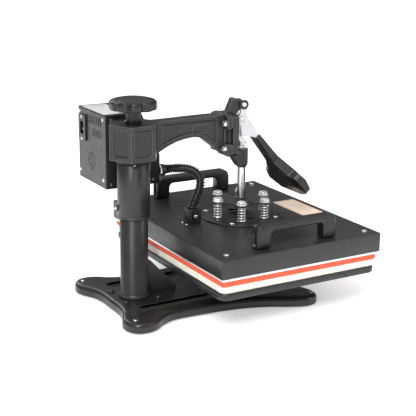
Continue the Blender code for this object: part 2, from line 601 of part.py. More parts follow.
def make_front_panel(head):
    x0, x1 = BOX_X
    w = BOX_WALL
    length = math.hypot(*PANEL_RUN)
    bm = panel_box(x0 + w + GAP, x1 - w - GAP, 1 * MM, length - 4 * MM, -3 * MM, -GAP)
    panel = make_object("front_panel", bm, black_plastic(), parent=head)
    middle = (x0 + x1) / 2
    hole = panel_box(middle - 30 * MM - GAP, middle + 30 * MM + GAP, 40 * MM - GAP, 68 * MM + GAP,
                     -5 * MM, 2 * MM)
    cut(panel, hole, "window_hole")
    window = panel_box(middle - 30 * MM, middle + 30 * MM, 40 * MM, 68 * MM, -3 * MM, 0.2 * MM)
    make_object("display_window", window, material("display", (0.01, 0.02, 0.025), 0.1), parent=head)
    for k, name in enumerate(BUTTONS):
        u = middle + (k - 1) * 24 * MM
        hole = panel_box(u - 7.4 * MM, u + 7.4 * MM, 14.6 * MM, 25.4 * MM, -5 * MM, 2 * MM)
        cut(panel, hole, "hole_" + name)
        button = pivot(name + "_pivot", front_frame(u, 20 * MM), head)
        cap = panel_box(u - 7 * MM, u + 7 * MM, 15 * MM, 25 * MM, -2.5 * MM, 1.6 * MM)
        make_object("button_" + name, cap, material("button", (0.3, 0.31, 0.32), 0.5), parent=button)


def make_power_switch(head):
    """A rocker in its bezel, on the box's outer side."""
    x1, y0, z0 = BOX_X[1], BOX_Y[0] + 40 * MM, BOX_Z[0] + 30 * MM
    bezel = box_bmesh((x1 + GAP, y0 - 2 * MM, z0 - 2 * MM), (x1 + 2 * MM, y0 + 22 * MM, z0 + 30 * MM))
    obj = make_object("switch_bezel", bezel, black_plastic(), parent=head)
    body = box_bmesh((x1 - 12 * MM, y0 + GAP, z0 + GAP),
                     (x1 + 1 * MM, y0 + 20 * MM - GAP, z0 + 28 * MM - GAP))
    join(obj, body, "bezel_body")
    hole = box_bmesh((x1 - 8 * MM, y0 + 3 * MM, z0 + 3 * MM), (x1 + 4 * MM, y0 + 17 * MM, z0 + 25 * MM))
    cut(obj, hole, "bezel_hole")
    middle = (x1 + 0.5 * MM, y0 + 10 * MM, z0 + 14 * MM)
    rocker = pivot("rocker_pivot", middle, head)
    outline = [(-4 * MM, -5 * MM), (1 * MM, -9.8 * MM), (3.4 * MM, -9.6 * MM), (1.8 * MM, 0),
               (1.8 * MM, 9.6 * MM), (0.2 * MM, 9.8 * MM), (-4 * MM, 5 * MM)]
    outline = [(middle[0] + x, middle[2] + z) for x, z in outline]
    cap = prism_bmesh(outline, middle[1] - 6.6 * MM, middle[1] + 6.6 * MM, "Y")
    make_object("power_rocker", cap, material("rocker", (0.5, 0.02, 0.02), 0.35), parent=rocker)


def make_box_inside(head):
    """The controller board, upright behind the front panel."""
    x0, y0, z0 = BOX_X[0], BOX_Y[0], BOX_Z[0]
    board = box_bmesh((x0 + 12 * MM, y0 + 52 * MM, z0 + 12 * MM),
                      (x0 + 96 * MM, y0 + 53.6 * MM, z0 + 88 * MM))
    make_object("circuit_board", board, material("board", (0.02, 0.2, 0.06), 0.5), parent=head)


# ---- toggle, shaft and spider -------------------------------------------------------
def grip_frame():
    """A function that places (distance down the grip, distance across it) as (y, z), and its length."""
    gy, gz = GRIP_START
    dy, dz = GRIP_END[0] - gy, GRIP_END[1] - gz
    length = math.hypot(dy, dz)
    uy, uz = dy / length, dz / length

    def place(s, n):
        return (gy + uy * s - uz * n, gz + uz * s + uy * n)

    return place, length


def make_lever(lever):
    """Two steel cheeks on the fixed and middle pivots, closed into one shank inside the grip."""
    place, _ = grip_frame()
    fy, fz = PIVOT_FIXED
    my, mz = PIVOT_MIDDLE
    shank = 4.4 * MM
    tip = 22 * MM
    outline = [(fy + 6.5 * MM, fz)]
    outline += arc(fy, fz, 6.5 * MM, 20, 180, 6)
    outline += [(my - 9 * MM, mz + 7 * MM), place(-1 * MM, -shank), place(tip, -shank), place(tip, shank),
                place(-1 * MM, shank), (my - 15 * MM, mz - 31 * MM), (my, mz - 29.5 * MM),
                (my + 2 * MM, mz - 12 * MM), (my + 6.5 * MM, mz - 4 * MM), (my + 7.8 * MM, mz),
                (my + 6 * MM, mz + 5 * MM), (fy + 6.5 * MM, mz + 12 * MM)]
    obj = make_object("lever_fork", prism_bmesh(outline, -FORK_HALF, FORK_HALF, "X"), chrome(), parent=lever)
    slot_half = LINK_HALF + GAP
    slot = [place(-6 * MM, -40 * MM), place(-6 * MM, 40 * MM), place(-110 * MM, 60 * MM),
            place(-110 * MM, -60 * MM)]
    cut(obj, prism_bmesh(slot, -slot_half, slot_half, "X"), "fork_slot")
    hole = rod_bmesh(4.3 * MM, -20 * MM, 20 * MM, 20, "X", (0, *PIVOT_FIXED))
    cut(obj, hole, "fork_hole")
    hole = rod_bmesh(3.3 * MM, -20 * MM, 20 * MM, 20, "X", (0, *PIVOT_MIDDLE))
    cut(obj, hole, "fork_middle_hole")
    stub = rod_bmesh(3.1 * MM, -FORK_HALF - 1.5 * MM, -LINK_HALF - GAP, 20, "X", (0, *PIVOT_MIDDLE), 0.4 * MM)
    make_object("middle_pin", stub, chrome(), parent=lever)
    make_grip(lever)


def make_grip(lever):
    """Moulded T-shaped grip: a neck over the shank and a wide palm bar."""
    place, length = grip_frame()
    neck_end = length - 40 * MM
    half = 6 * MM
    neck = [place(1 * MM, half), place(neck_end, half), place(neck_end, -half), place(1 * MM, -half)]
    obj = make_object("lever_grip", prism_bmesh(neck, -FORK_HALF - 1.6 * MM, FORK_HALF + 1.6 * MM, "X"),
                      black_plastic(), parent=lever)
    palm = bmesh.new()
    for x, low, high, thick in ((-PALM_HALF, 42, 4, 6.5), (-30 * MM, 48, 0, 7.6),
                                (30 * MM, 48, 0, 7.6), (PALM_HALF, 42, 4, 6.5)):
        for s in (length - low * MM, length - high * MM):
            for n in (-thick * MM, thick * MM):
                palm.verts.new((x, *place(s, n)))
    bmesh.ops.convex_hull(palm, input=palm.verts)
    join(obj, palm, "grip_palm")
    socket = [place(-2 * MM, 4.7 * MM), place(22.5 * MM, 4.7 * MM), place(22.5 * MM, -4.7 * MM),
              place(-2 * MM, -4.7 * MM)]
    cut(obj, prism_bmesh(socket, -FORK_HALF - GAP, FORK_HALF + GAP, "X"), "grip_socket")


def make_link(link):
    """The connecting link: solid at the middle pivot, forked over the shaft's tang."""
    my, mz = PIVOT_MIDDLE
    sy, sz = PIVOT_SHAFT
    outline = arc(my, mz, 6 * MM, -10, 200, 8)
    outline += [(my - 3 * MM, mz - 14 * MM), (my - 1 * MM, mz - 24 * MM), (sy + 1 * MM, sz + 12 * MM)]
    outline += arc(sy, sz, 6.2 * MM, 160, 380, 8)
    outline += [(my + 7 * MM, mz - 30 * MM), (my + 9.5 * MM, mz - 21 * MM), (my + 9 * MM, mz - 10 * MM)]
    obj = make_object("toggle_link", prism_bmesh(outline, -LINK_HALF, LINK_HALF, "X"), chrome(), parent=link)
    half = TANG_HALF + GAP
    slot = box_bmesh((-half, sy - 20 * MM, sz - 20 * MM), (half, sy + 20 * MM, sz + 17 * MM))
    cut(obj, slot, "link_slot")
    hole = rod_bmesh(3.3 * MM, -20 * MM, 20 * MM, 20, "X", (0, sy, sz))
    cut(obj, hole, "link_hole")


def make_shaft(press):
    sy, sz = PIVOT_SHAFT
    shaft = rod_bmesh(SHAFT_RADIUS, SPIDER_Z[1] + GAP, sz + 6.5 * MM, 32, centre=(0, PLATEN_Y, 0),
                      chamfer=0.8 * MM)
    obj = make_object("press_shaft", shaft, chrome(), parent=press)
    for side in (-1, 1):
        x0, x1 = sorted((side * TANG_HALF, side * 20 * MM))
        flat = box_bmesh((x0, sy - 20 * MM, sz - 7.5 * MM), (x1, sy + 20 * MM, sz + 20 * MM))
        cut(obj, flat, "shaft_flat_%d" % (side > 0))
    cut(obj, rod_bmesh(3.3 * MM, -20 * MM, 20 * MM, 20, "X", (0, sy, sz)), "shaft_hole")
    pin = rod_bmesh(3 * MM, -LINK_HALF - 1.2 * MM, LINK_HALF + 1.2 * MM, 20, "X", (0, sy, sz), 0.4 * MM)
    make_object("shaft_pin", pin, chrome(), parent=press)


def make_spider(press):
    """Six-lobed spring plate on the shaft's end, one bolt through each lobe."""
    outline = []
    for angle in BOLT_ANGLES:
        a = math.radians(angle)
        cx, cy = BOLT_CIRCLE * math.cos(a), PLATEN_Y + BOLT_CIRCLE * math.sin(a)
        outline += arc(cx, cy, 9.5 * MM, angle - 80, angle + 80, 6)
        b = math.radians(angle + 30)
        outline.append((37 * MM * math.cos(b), PLATEN_Y + 37 * MM * math.sin(b)))
    low, high = SPIDER_Z
    obj = make_object("spring_plate", prism_bmesh(outline, low, high), black_paint(), parent=press)
    for k, angle in enumerate(BOLT_ANGLES):
        a = math.radians(angle)
        centre = (BOLT_CIRCLE * math.cos(a), PLATEN_Y + BOLT_CIRCLE * math.sin(a), 0)
        cut(obj, rod_bmesh(4.4 * MM, low - 1 * MM, high + 1 * MM, 16, centre=centre), "lobe_hole_%d" % k)
    for side in (-1, 1):
        centre = (side * 29 * MM, PLATEN_Y, 0)
        hole = rod_bmesh(4.5 * MM, low - 1 * MM, high + 1 * MM, 16, centre=centre)
        cut(obj, hole, "plate_hole_%d" % (side > 0))


# ---- platen -------------------------------------------------------------------------
def make_platen(platen):
    w, d = COVER_SIZE
    x, y = w / 2, d / 2
    cover = box_bmesh((-x, PLATEN_Y - y, COVER_BOTTOM), (x, PLATEN_Y + y, COVER_TOP))
    obj = make_object("platen_cover", cover, black_paint(), parent=platen)
    t = COVER_WALL
    inside = box_bmesh((-x + t, PLATEN_Y - y + t, COVER_BOTTOM - 5 * MM),
                       (x - t, PLATEN_Y + y - t, COVER_TOP - t))
    cut(obj, inside, "cover_inside")
    inset = t + GAP
    low = HEATER_BOTTOM
    aluminium = material("aluminium", (0.8, 0.8, 0.8), 0.35, 1.0)
    plate = box_bmesh((-x + inset, PLATEN_Y - y + inset, low),
                      (x - inset, PLATEN_Y + y - inset, low + HEATER_PLATE_THICK))
    make_object("heating_plate", plate, aluminium, parent=platen)
    low += HEATER_PLATE_THICK + GAP
    element = prism_bmesh(rounded_rectangle(330 * MM, 250 * MM, 20 * MM, (0, PLATEN_Y)), low, low + 6 * MM)
    hot = make_object("heating_element", element, steel(), parent=platen)
    cut(hot, prism_bmesh(rounded_rectangle(290 * MM, 210 * MM, 12 * MM, (0, PLATEN_Y)),
                         low - 1 * MM, low + 7 * MM), "element_middle")
    low += 6 * MM + GAP
    wool = box_bmesh((-x + 8 * MM, PLATEN_Y - y + 8 * MM, low),
                     (x - 8 * MM, PLATEN_Y + y - 8 * MM, low + 12 * MM))
    make_object("insulation_blanket", wool, material("wool", (0.8, 0.78, 0.7), 0.95), parent=platen)
    make_disc(platen)
    make_handles(platen)
    make_gland(platen)


def make_disc(platen):
    low = COVER_TOP + GAP
    high = COVER_TOP + DISC_THICK
    outline = arc(0, PLATEN_Y, DISC_RADIUS, 0, 354, 59)
    obj = make_object("mounting_disc", prism_bmesh(outline, low, high), black_paint(), parent=platen)
    cut(obj, rod_bmesh(12 * MM, low - 1 * MM, high + 1 * MM, 24, centre=(0, PLATEN_Y, 0)), "disc_bore")
    for side in (-1, 1):
        centre = (side * 31 * MM, PLATEN_Y, 0)
        hole = rod_bmesh(6.5 * MM, low - 1 * MM, high + 1 * MM, 20, centre=centre)
        cut(obj, hole, "disc_hole_%d" % (side > 0))
    for k, angle in enumerate(BOLT_ANGLES):
        a = math.radians(angle)
        x, y = BOLT_CIRCLE * math.cos(a), PLATEN_Y + BOLT_CIRCLE * math.sin(a)
        head_low = SPIDER_Z[1] + GAP
        bolt = rod_bmesh(3.9 * MM, high + GAP, head_low + 1 * MM, 12, centre=(x, y, 0))
        obj = make_object("spring_bolt_%d" % (k + 1), bolt, chrome(), parent=platen)
        head = prism_bmesh(hexagon(7.5 * MM, x, y), head_low, head_low + 5.3 * MM)
        join(obj, head, "bolt_head_%d" % (k + 1))
        profile = [(5 * MM, high + GAP), (SPRING_RADIUS, high + GAP), (SPRING_RADIUS, SPIDER_Z[0] - GAP),
                   (5 * MM, SPIDER_Z[0] - GAP)]
        make_object("spring_%d" % (k + 1), lathe_bmesh(profile, 12, centre=(x, y, 0)), steel(), parent=platen)


def make_handles(platen):
    """Bridge handles near both ends of the platen, each leg with a screw pocket."""
    for side, name in ((-1, "left"), (1, "right")):
        outer = side * 178 * MM
        inner = side * 158 * MM
        x0, x1 = sorted((inner, outer))
        low = COVER_TOP + GAP
        high = COVER_TOP + 40 * MM
        front = PLATEN_Y - 73 * MM
        rear = PLATEN_Y + 80 * MM
        outline = [(front, low)]
        outline += arc(front + 14 * MM, high - 14 * MM, 14 * MM, 180, 90, 5)
        outline += arc(rear - 14 * MM, high - 14 * MM, 14 * MM, 90, 0, 5)
        outline += [(rear, low), (rear - 26 * MM, low)]
        outline += arc(rear - 34 * MM, high - 21 * MM, 8 * MM, 0, 90, 4)
        outline += arc(front + 34 * MM, high - 21 * MM, 8 * MM, 90, 180, 4)
        outline += [(front + 26 * MM, low)]
        obj = make_object("handle_" + name, prism_bmesh(outline, x0, x1, "X"), black_plastic(), parent=platen)
        bevel(obj, 2 * MM, 2, 60)


def make_gland(platen):
    """The hose's foot on the cover: a block with a socket that the hose drops into."""
    gx, gy = 4 * MM, PLATEN_Y + 94 * MM
    outline = rounded_rectangle(24 * MM, 24 * MM, 5 * MM, (gx, gy), 3)
    low = COVER_TOP + GAP
    block = prism_bmesh(outline, low, COVER_TOP + 26 * MM)
    obj = make_object("hose_gland", block, black_plastic(), parent=platen)
    socket = rod_bmesh(HOSE_RADIUS + 0.6 * MM, COVER_TOP + 8 * MM, COVER_TOP + 30 * MM, 24,
                       centre=(gx, gy, 0))
    cut(obj, socket, "gland_socket")


def make_hose(head):
    """The hose's nut on the box, and the hose itself on its route to the gland."""
    x, y, z = HOSE_EXIT
    nut = lathe_bmesh([(5 * MM, -9 * MM), (9.5 * MM, -9 * MM), (10.5 * MM, -8 * MM),
                       (10.5 * MM, -GAP), (5 * MM, -GAP)], 6)
    for vert in nut.verts:
        vert.co = Vector((x + vert.co.x, y + vert.co.z, z + vert.co.y))
    make_object("hose_nut", nut, chrome(), parent=head)
    curve = bpy.data.curves.new("heater_hose", "CURVE")
    curve.dimensions = "3D"
    curve.bevel_depth = HOSE_RADIUS
    curve.bevel_resolution = 3
    curve.use_fill_caps = True
    route = smooth_route([(x, PLATEN_Y * 1000 + y, COVER_TOP * 1000 + z) for x, y, z in HOSE_ROUTE], 3)
    spline = curve.splines.new("POLY")
    spline.points.add(len(route) - 1)
    for point, place in zip(spline.points, route):
        point.co = (*[value * MM for value in place], 1)
    obj = bpy.data.objects.new("heater_hose", curve)
    curve.materials.append(black_plastic())
    bpy.context.collection.objects.link(obj)
    obj.parent = head
    obj.matrix_parent_inverse = Matrix.Translation(-head.location)


def smooth_route(points, steps):
    """Points along a Catmull-Rom curve through the given points."""
    rail = [Vector(p) for p in points]
    rail = [rail[0] * 2 - rail[1]] + rail + [rail[-1] * 2 - rail[-2]]
    smooth = []
    for k in range(1, len(rail) - 2):
        a, b, c, d = rail[k - 1:k + 3]
        for step in range(steps):
            t = step / steps
            smooth.append(0.5 * ((2 * b) + (c - a) * t + (2 * a - 5 * b + 4 * c - d) * t * t
                                 + (3 * b - a - 3 * c + d) * t ** 3))
    smooth.append(rail[-2])
    return smooth


def main():
    for obj in list(bpy.data.objects):
        bpy.data.objects.remove(obj, do_unlink=True)
    make_base_plate()
    make_feet()
    make_column()
    make_gusset()
    make_lower_stand()
    make_lower_platen()
    make_screw_nut()
    axis = (0, COLUMN_Y, 0)
    riser = pivot("riser_axis", axis)
    knob = pivot("knob_axis", axis, riser)
    head = pivot("swing_axis", axis, riser)
    lever = pivot("lever_axis", (0, *PIVOT_FIXED), head)
    press = pivot("press_axis", (0, *PIVOT_SHAFT), head)
    link = pivot("link_axis", (0, *PIVOT_SHAFT), press)
    platen = pivot("platen_axis", (0, PLATEN_Y, COVER_TOP), press)
    make_riser(riser)
    make_knob(knob)
    make_sleeve(head)
    make_head_arm(head)
    make_toggle_bracket(head)
    make_control_box(head)
    make_hose(head)
    make_lever(lever)
    make_link(link)
    make_shaft(press)
    make_spider(press)
    make_platen(platen)


main()
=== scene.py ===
"""The looks of a swing-away heat press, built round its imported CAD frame.

Lengths are in platen millimetres: x, y and z from the middle of the heated platen's upper face, +Z up.
at() turns them into the frame's metres, and piece() does so for a whole mesh.
"""

import math

import bmesh
import bpy
from mathutils import Matrix, Vector, noise


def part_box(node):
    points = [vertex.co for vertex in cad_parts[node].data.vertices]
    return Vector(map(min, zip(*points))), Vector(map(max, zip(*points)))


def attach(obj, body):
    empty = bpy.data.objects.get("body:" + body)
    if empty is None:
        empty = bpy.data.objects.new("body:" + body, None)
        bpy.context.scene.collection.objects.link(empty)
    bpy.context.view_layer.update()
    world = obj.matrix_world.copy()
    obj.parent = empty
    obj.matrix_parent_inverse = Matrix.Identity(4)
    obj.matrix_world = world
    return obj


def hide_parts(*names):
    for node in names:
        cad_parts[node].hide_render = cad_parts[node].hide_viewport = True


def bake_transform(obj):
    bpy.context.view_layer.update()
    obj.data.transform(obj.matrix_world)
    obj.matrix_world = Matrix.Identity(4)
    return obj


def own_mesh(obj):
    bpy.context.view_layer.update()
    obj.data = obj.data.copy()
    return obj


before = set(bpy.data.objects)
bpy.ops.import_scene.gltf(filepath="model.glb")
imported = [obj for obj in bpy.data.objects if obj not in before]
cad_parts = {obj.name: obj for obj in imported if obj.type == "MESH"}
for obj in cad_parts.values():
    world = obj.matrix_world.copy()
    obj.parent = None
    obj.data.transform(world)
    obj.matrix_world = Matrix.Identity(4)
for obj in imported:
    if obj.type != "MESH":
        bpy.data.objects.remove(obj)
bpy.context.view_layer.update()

MM = 0.001
COVER_LOW, COVER_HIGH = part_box("platen_cover")
PLATEN_Y = (COVER_LOW.y + COVER_HIGH.y) / 2         # metres, as TOP is
TOP = COVER_HIGH.z


def at(x, y, z):
    """A point given in platen millimetres, in metres."""
    return Vector((x * MM, PLATEN_Y + y * MM, TOP + z * MM))


def span(node):
    """The two corners of a CAD node's box, in platen millimetres."""
    return [(corner - at(0, 0, 0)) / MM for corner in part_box(node)]


TO_METRES = Matrix.Translation(at(0, 0, 0)) @ Matrix.Scale(MM, 4)
LOCAL = Matrix.Scale(MM, 4)                          # for a mesh drawn round its own origin
SIDES = ((-1, "left"), (1, "right"))

COLUMN_LOW, COLUMN_HIGH = span("column_tube")
COLUMN_Y = (COLUMN_LOW.y + COLUMN_HIGH.y) / 2
BASE_TOP = span("base_plate")[1].z
# The rod's bright side is a painted highlight between two painted dark reflections.
PAINTED_BRIGHT_SIDE = 148                                    # degrees from +X to the polished rod's bright side


# ---- materials ----------------------------------------------------------------------
def surface(name, color, roughness, metallic=0.0, specular=0.5, vary=0.12, cloud=25.0, grain=900.0,
            bump=0.15, depth=0.1, uneven=0.15, edge_wear_and_sheen=0.0, wear_and_highlight_color=(0.3, 0.3, 0.3), stretch=(1, 1, 1),
            painted_shade_and_highlight=0.0, painted_reflection_bands=0):
    """A Principled material with clouded colour, uneven gloss, a fine grain and lightly worn edges, which
    also carry a painted highlight.

    depth is the grain's height in millimetres. painted_shade_and_highlight paints shade into hollows and a
    highlight onto ridges. painted_reflection_bands is the number of dark reflections painted along a
    polished rod that stands on the platen's axis.
    """
    mat = bpy.data.materials.new(name)
    mat.use_nodes = True
    tree = mat.node_tree
    shader = tree.nodes["Principled BSDF"]
    shader.inputs["Metallic"].default_value = metallic
    shader.inputs["Specular IOR Level"].default_value = specular

    def node(kind, **values):
        made = tree.nodes.new("ShaderNode" + kind)
        for key, value in values.items():
            setattr(made, key, value)
        return made

    def texture(scale, detail):
        made = node("TexNoise")
        made.inputs["Scale"].default_value = scale
        made.inputs["Detail"].default_value = detail
        tree.links.new(placed, made.inputs["Vector"])
        return made.outputs["Fac"]

    def spread(source, low, high, start=0.3, end=0.7):
        made = node("MapRange")
        tree.links.new(source, made.inputs["Value"])
        for key, value in (("From Min", start), ("From Max", end), ("To Min", low), ("To Max", high)):
            made.inputs[key].default_value = value
        return made.outputs["Result"]

    def blend(factor, first, second):
        made = node("Mix", data_type="RGBA")
        tree.links.new(factor, made.inputs["Factor"])
        for socket, value in ((made.inputs[6], first), (made.inputs[7], second)):
            if isinstance(value, tuple):
                socket.default_value = (*value, 1)
            else:
                tree.links.new(value, socket)
        return made.outputs[2]

    def math_node(operation, *inputs):
        made = node("Math", operation=operation)
        for socket, value in zip(made.inputs, inputs):
            if isinstance(value, (int, float)):
                socket.default_value = value
            else:
                tree.links.new(value, socket)
        return made.outputs["Value"]

    def worn_and_highlighted_edges(paint):
        """Lighter patches along the sharp edges: worn paint, and a painted edge highlight."""
        rounded_edge = node("Bevel", samples=4)
        rounded_edge.inputs["Radius"].default_value = 0.9 * MM
        turned = node("VectorMath", operation="DOT_PRODUCT")
        tree.links.new(rounded_edge.outputs["Normal"], turned.inputs[0])
        tree.links.new(node("NewGeometry").outputs["Normal"], turned.inputs[1])
        edge = spread(turned.outputs["Value"], 1, 0, 0.86, 0.985)
        patches = spread(texture(cloud * 8, 3), 0, edge_wear_and_sheen, 0.4, 0.6)
        return blend(math_node("MULTIPLY", edge, patches), paint, wear_and_highlight_color)

    def painted_hollow_shade_and_ridge_highlight(paint):
        # Painted shade darkens the hollows to near black; a painted highlight lightens the ridges.
        shape = node("NewGeometry").outputs["Pointiness"]
        paint = blend(spread(shape, painted_shade_and_highlight, 0, 0.46, 0.5), paint, (0.002, 0.002, 0.002))
        return blend(spread(shape, 0, painted_shade_and_highlight, 0.505, 0.56), paint, wear_and_highlight_color)

    def painted_reflections(paint):
        """Painted reflections: dark stripes painted along the rod, with a painted bright stripe between two
        of them at the bright-side angle.
        """
        centred = node("VectorMath", operation="SUBTRACT")
        tree.links.new(node("TexCoord").outputs["Object"], centred.inputs[0])
        centred.inputs[1].default_value = (0, PLATEN_Y, 0)
        radial = node("TexGradient", gradient_type="RADIAL")
        tree.links.new(centred.outputs["Vector"], radial.inputs["Vector"])
        phase = 0.5 - painted_reflection_bands * (PAINTED_BRIGHT_SIDE / 360 + 0.5)
        wave = math_node("PINGPONG", math_node("MULTIPLY_ADD", radial.outputs["Fac"], painted_reflection_bands, phase), 0.5)
        # painted reflection: near-black stripes mixed over the rod's own colour
        return blend(spread(wave, 0, 1, 0.08, 0.3), (0.03, 0.03, 0.032), paint)

    mapping = node("Mapping")
    mapping.inputs["Scale"].default_value = stretch
    tree.links.new(node("TexCoord").outputs["Object"], mapping.inputs["Vector"])
    placed = mapping.outputs["Vector"]
    dark = tuple(c * (1 - vary) for c in color)
    light = tuple(min(1, c * (1 + vary)) for c in color)
    paint = blend(spread(texture(cloud, 4), 0, 1), dark, light)
    gloss = spread(texture(cloud * 3, 3), roughness * (1 - uneven), roughness * (1 + uneven))
    for wanted, change in ((edge_wear_and_sheen, worn_and_highlighted_edges), (painted_shade_and_highlight, painted_hollow_shade_and_ridge_highlight), (painted_reflection_bands, painted_reflections)):
        if wanted:
            paint = change(paint)
    tree.links.new(paint, shader.inputs["Base Color"])
    tree.links.new(gloss, shader.inputs["Roughness"])
    height = node("Bump")
    height.inputs["Strength"].default_value = bump
    height.inputs["Distance"].default_value = depth * MM
    tree.links.new(texture(grain, 2), height.inputs["Height"])
    tree.links.new(height.outputs["Normal"], shader.inputs["Normal"])
    return mat


# The sharp edges of these paints and plastics are lightened partly as wear and partly as a painted edge
# highlight.
PAINT = surface("black_paint", (0.02, 0.02, 0.021), 0.36, vary=0.14, grain=1500, bump=0.25, depth=0.05,
                edge_wear_and_sheen=0.7, wear_and_highlight_color=(0.2, 0.2, 0.2))
# The casting's hollows carry painted shade and its ridges a painted highlight.
CASTING = surface("black_casting", (0.018, 0.018, 0.019), 0.36, vary=0.16, cloud=35, grain=800, bump=0.35,
                  wear_and_highlight_color=(0.13, 0.13, 0.13), painted_shade_and_highlight=0.8)
BASE_PAINT = surface("base_paint", (0.014, 0.014, 0.015), 0.3, vary=0.15, cloud=14, bump=0.1, depth=0.04,
                     edge_wear_and_sheen=0.5, wear_and_highlight_color=(0.13, 0.13, 0.13))
# A darker, duller copy of the black paint for the box's shell: painted shade from the head beside it.
SHADED_BOX_PAINT = surface("box_paint_with_painted_shade", (0.007, 0.007, 0.0075), 0.5, specular=0.35, vary=0.14, grain=1500,
                    bump=0.25, depth=0.05, edge_wear_and_sheen=0.7, wear_and_highlight_color=(0.16, 0.16, 0.16))
PLASTIC = surface("black_plastic", (0.009, 0.009, 0.01), 0.33, vary=0.15, cloud=40, grain=2200, bump=0.45,
                  depth=0.05, edge_wear_and_sheen=0.4, wear_and_highlight_color=(0.1, 0.1, 0.1))
# The grip's hollows carry painted shade and its ridges a painted highlight.
GRIP_PLASTIC = surface("grip_plastic", (0.008, 0.008, 0.009), 0.3, vary=0.15, cloud=40, grain=1500, bump=0.4,
                       depth=0.05, wear_and_highlight_color=(0.07, 0.07, 0.07), painted_shade_and_highlight=0.7)
HOSE_PLASTIC = surface("hose_plastic", (0.008, 0.008, 0.009), 0.25, vary=0.2, cloud=60, grain=1800, bump=0.3,
                       depth=0.04)
CHROME = surface("chrome", (0.78, 0.785, 0.79), 0.2, metallic=1.0, vary=0.03, cloud=60, grain=500, bump=0.06,
                 depth=0.03, uneven=0.3)
BOLT_STEEL = surface("zinc_bolt", (0.92, 0.92, 0.93), 0.3, metallic=0.7, vary=0.04, cloud=90, depth=0.03,
                     uneven=0.2)
# The rod's dark stripes are painted reflections round its axis, with a painted bright stripe between two of
# them.
SHAFT_STEEL = surface("ground_shaft", (0.85, 0.85, 0.86), 0.26, metallic=0.95, painted_reflection_bands=3, vary=0.04, cloud=60,
                      bump=0.1, depth=0.03, uneven=0.2, stretch=(1, 1, 0.2))
LEVER_STEEL = surface("lever_steel", (0.62, 0.62, 0.63), 0.36, metallic=1.0, vary=0.05, cloud=40, grain=700,
                      bump=0.25, depth=0.05, uneven=0.25)
SPRING_STEEL = surface("spring_steel", (0.9, 0.9, 0.91), 0.3, metallic=0.75, vary=0.05, cloud=80, depth=0.03,
                       uneven=0.35)
DARK_STEEL = surface("dark_steel", (0.2, 0.2, 0.21), 0.35, metallic=1.0, vary=0.1, bump=0.2, depth=0.05)
STEEL = surface("turned_steel", (0.5, 0.51, 0.52), 0.3, metallic=1.0, vary=0.06, grain=300, bump=0.2,
                depth=0.05, stretch=(1, 1, 8))
ALUMINIUM = surface("milled_aluminium", (0.93, 0.93, 0.93), 0.42, metallic=0.7, vary=0.03, grain=700,
                    bump=0.2, depth=0.05, uneven=0.2)
FELT = surface("felt", (0.8, 0.8, 0.7), 0.95, specular=0.2, vary=0.08, cloud=70, grain=1100, bump=1.0,
               depth=0.5)
SILICONE = surface("silicone_foam", (0.88, 0.13, 0.065), 0.75, specular=0.3, vary=0.09, cloud=90, grain=1400,
                   bump=0.8, depth=0.25)
RUBBER = surface("rubber", (0.018, 0.018, 0.018), 0.8, vary=0.15, grain=1000, bump=0.5)
WOOL = surface("ceramic_wool", (0.75, 0.72, 0.62), 0.95, grain=600, bump=1.0, depth=0.5)
BOARD = surface("circuit_board", (0.02, 0.17, 0.06), 0.45, vary=0.3, cloud=200, bump=0.3)
BRONZE = surface("bronze", (0.55, 0.36, 0.16), 0.32, metallic=1.0, vary=0.08, grain=400, bump=0.2,
                 depth=0.05)
GLASS = surface("smoked_window", (0.008, 0.011, 0.012), 0.08, vary=0.2, grain=300, bump=0.02, depth=0.02)
KEY = surface("grey_key", (0.24, 0.245, 0.25), 0.55, vary=0.08, grain=1500, bump=0.3, depth=0.05, edge_wear_and_sheen=0.3)
RED = surface("red_rocker", (0.5, 0.018, 0.015), 0.28, vary=0.1, bump=0.1, depth=0.03)
PEACH = surface("peach_label", (0.94, 0.77, 0.62), 0.5, vary=0.04, cloud=40, grain=1500, bump=0.1,
                depth=0.02)
PEACH_DARK = surface("label_border", (0.82, 0.42, 0.26), 0.5, vary=0.06, cloud=60, grain=1500, bump=0.1,
                     depth=0.02)
WHITE = surface("white_label", (0.62, 0.62, 0.62), 0.5, vary=0.03, cloud=30, grain=1500, bump=0.1,
                depth=0.02)


# ---- mesh tools ---------------------------------------------------------------------
def add_object(name, data):
    obj = bpy.data.objects.new(name, data)
    bpy.context.collection.objects.link(obj)
    return obj


def add_mesh(name, bm, matrix):
    """An object from a bmesh, moved by a matrix and with its normals outwards."""
    bm.transform(matrix)
    bmesh.ops.recalc_face_normals(bm, faces=bm.faces)
    mesh = bpy.data.meshes.new(name)
    bm.to_mesh(mesh)
    bm.free()
    return add_object(name, mesh)


def sharpen(obj, angle=40):
    """Keep the edges sharp that turn by more than an angle, in degrees."""
    obj.data.set_sharp_from_angle(angle=math.radians(angle))


def piece(name, bm, mat, body, replaces=(), smooth=35, matrix=TO_METRES):
    """Turn a bmesh into a shown piece that rides on a body."""
    obj = add_mesh(name, bm, matrix)
    obj.data.shade_smooth()
    sharpen(obj, smooth)
    obj.data.materials.append(mat)
    if body is not None:
        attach(obj, body)
    if replaces:
        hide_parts(*replaces)
    return obj


def settle(obj):
    """Apply an object's modifiers to its mesh."""
    bpy.context.view_layer.update()
    graph = bpy.context.evaluated_depsgraph_get()
    mesh = bpy.data.meshes.new_from_object(obj.evaluated_get(graph))
    obj.modifiers.clear()
    obj.data = mesh


def rounded(obj, width, segments=3, angle=35):
    """Round an object's sharp edges and settle it."""
    bevel = obj.modifiers.new("round", "BEVEL")
    bevel.width = width * MM
    bevel.segments = segments
    bevel.limit_method = "ANGLE"
    bevel.angle_limit = math.radians(angle)
    weighted = obj.modifiers.new("weighted", "WEIGHTED_NORMAL")
    weighted.keep_sharp = True
    settle(obj)
    return obj


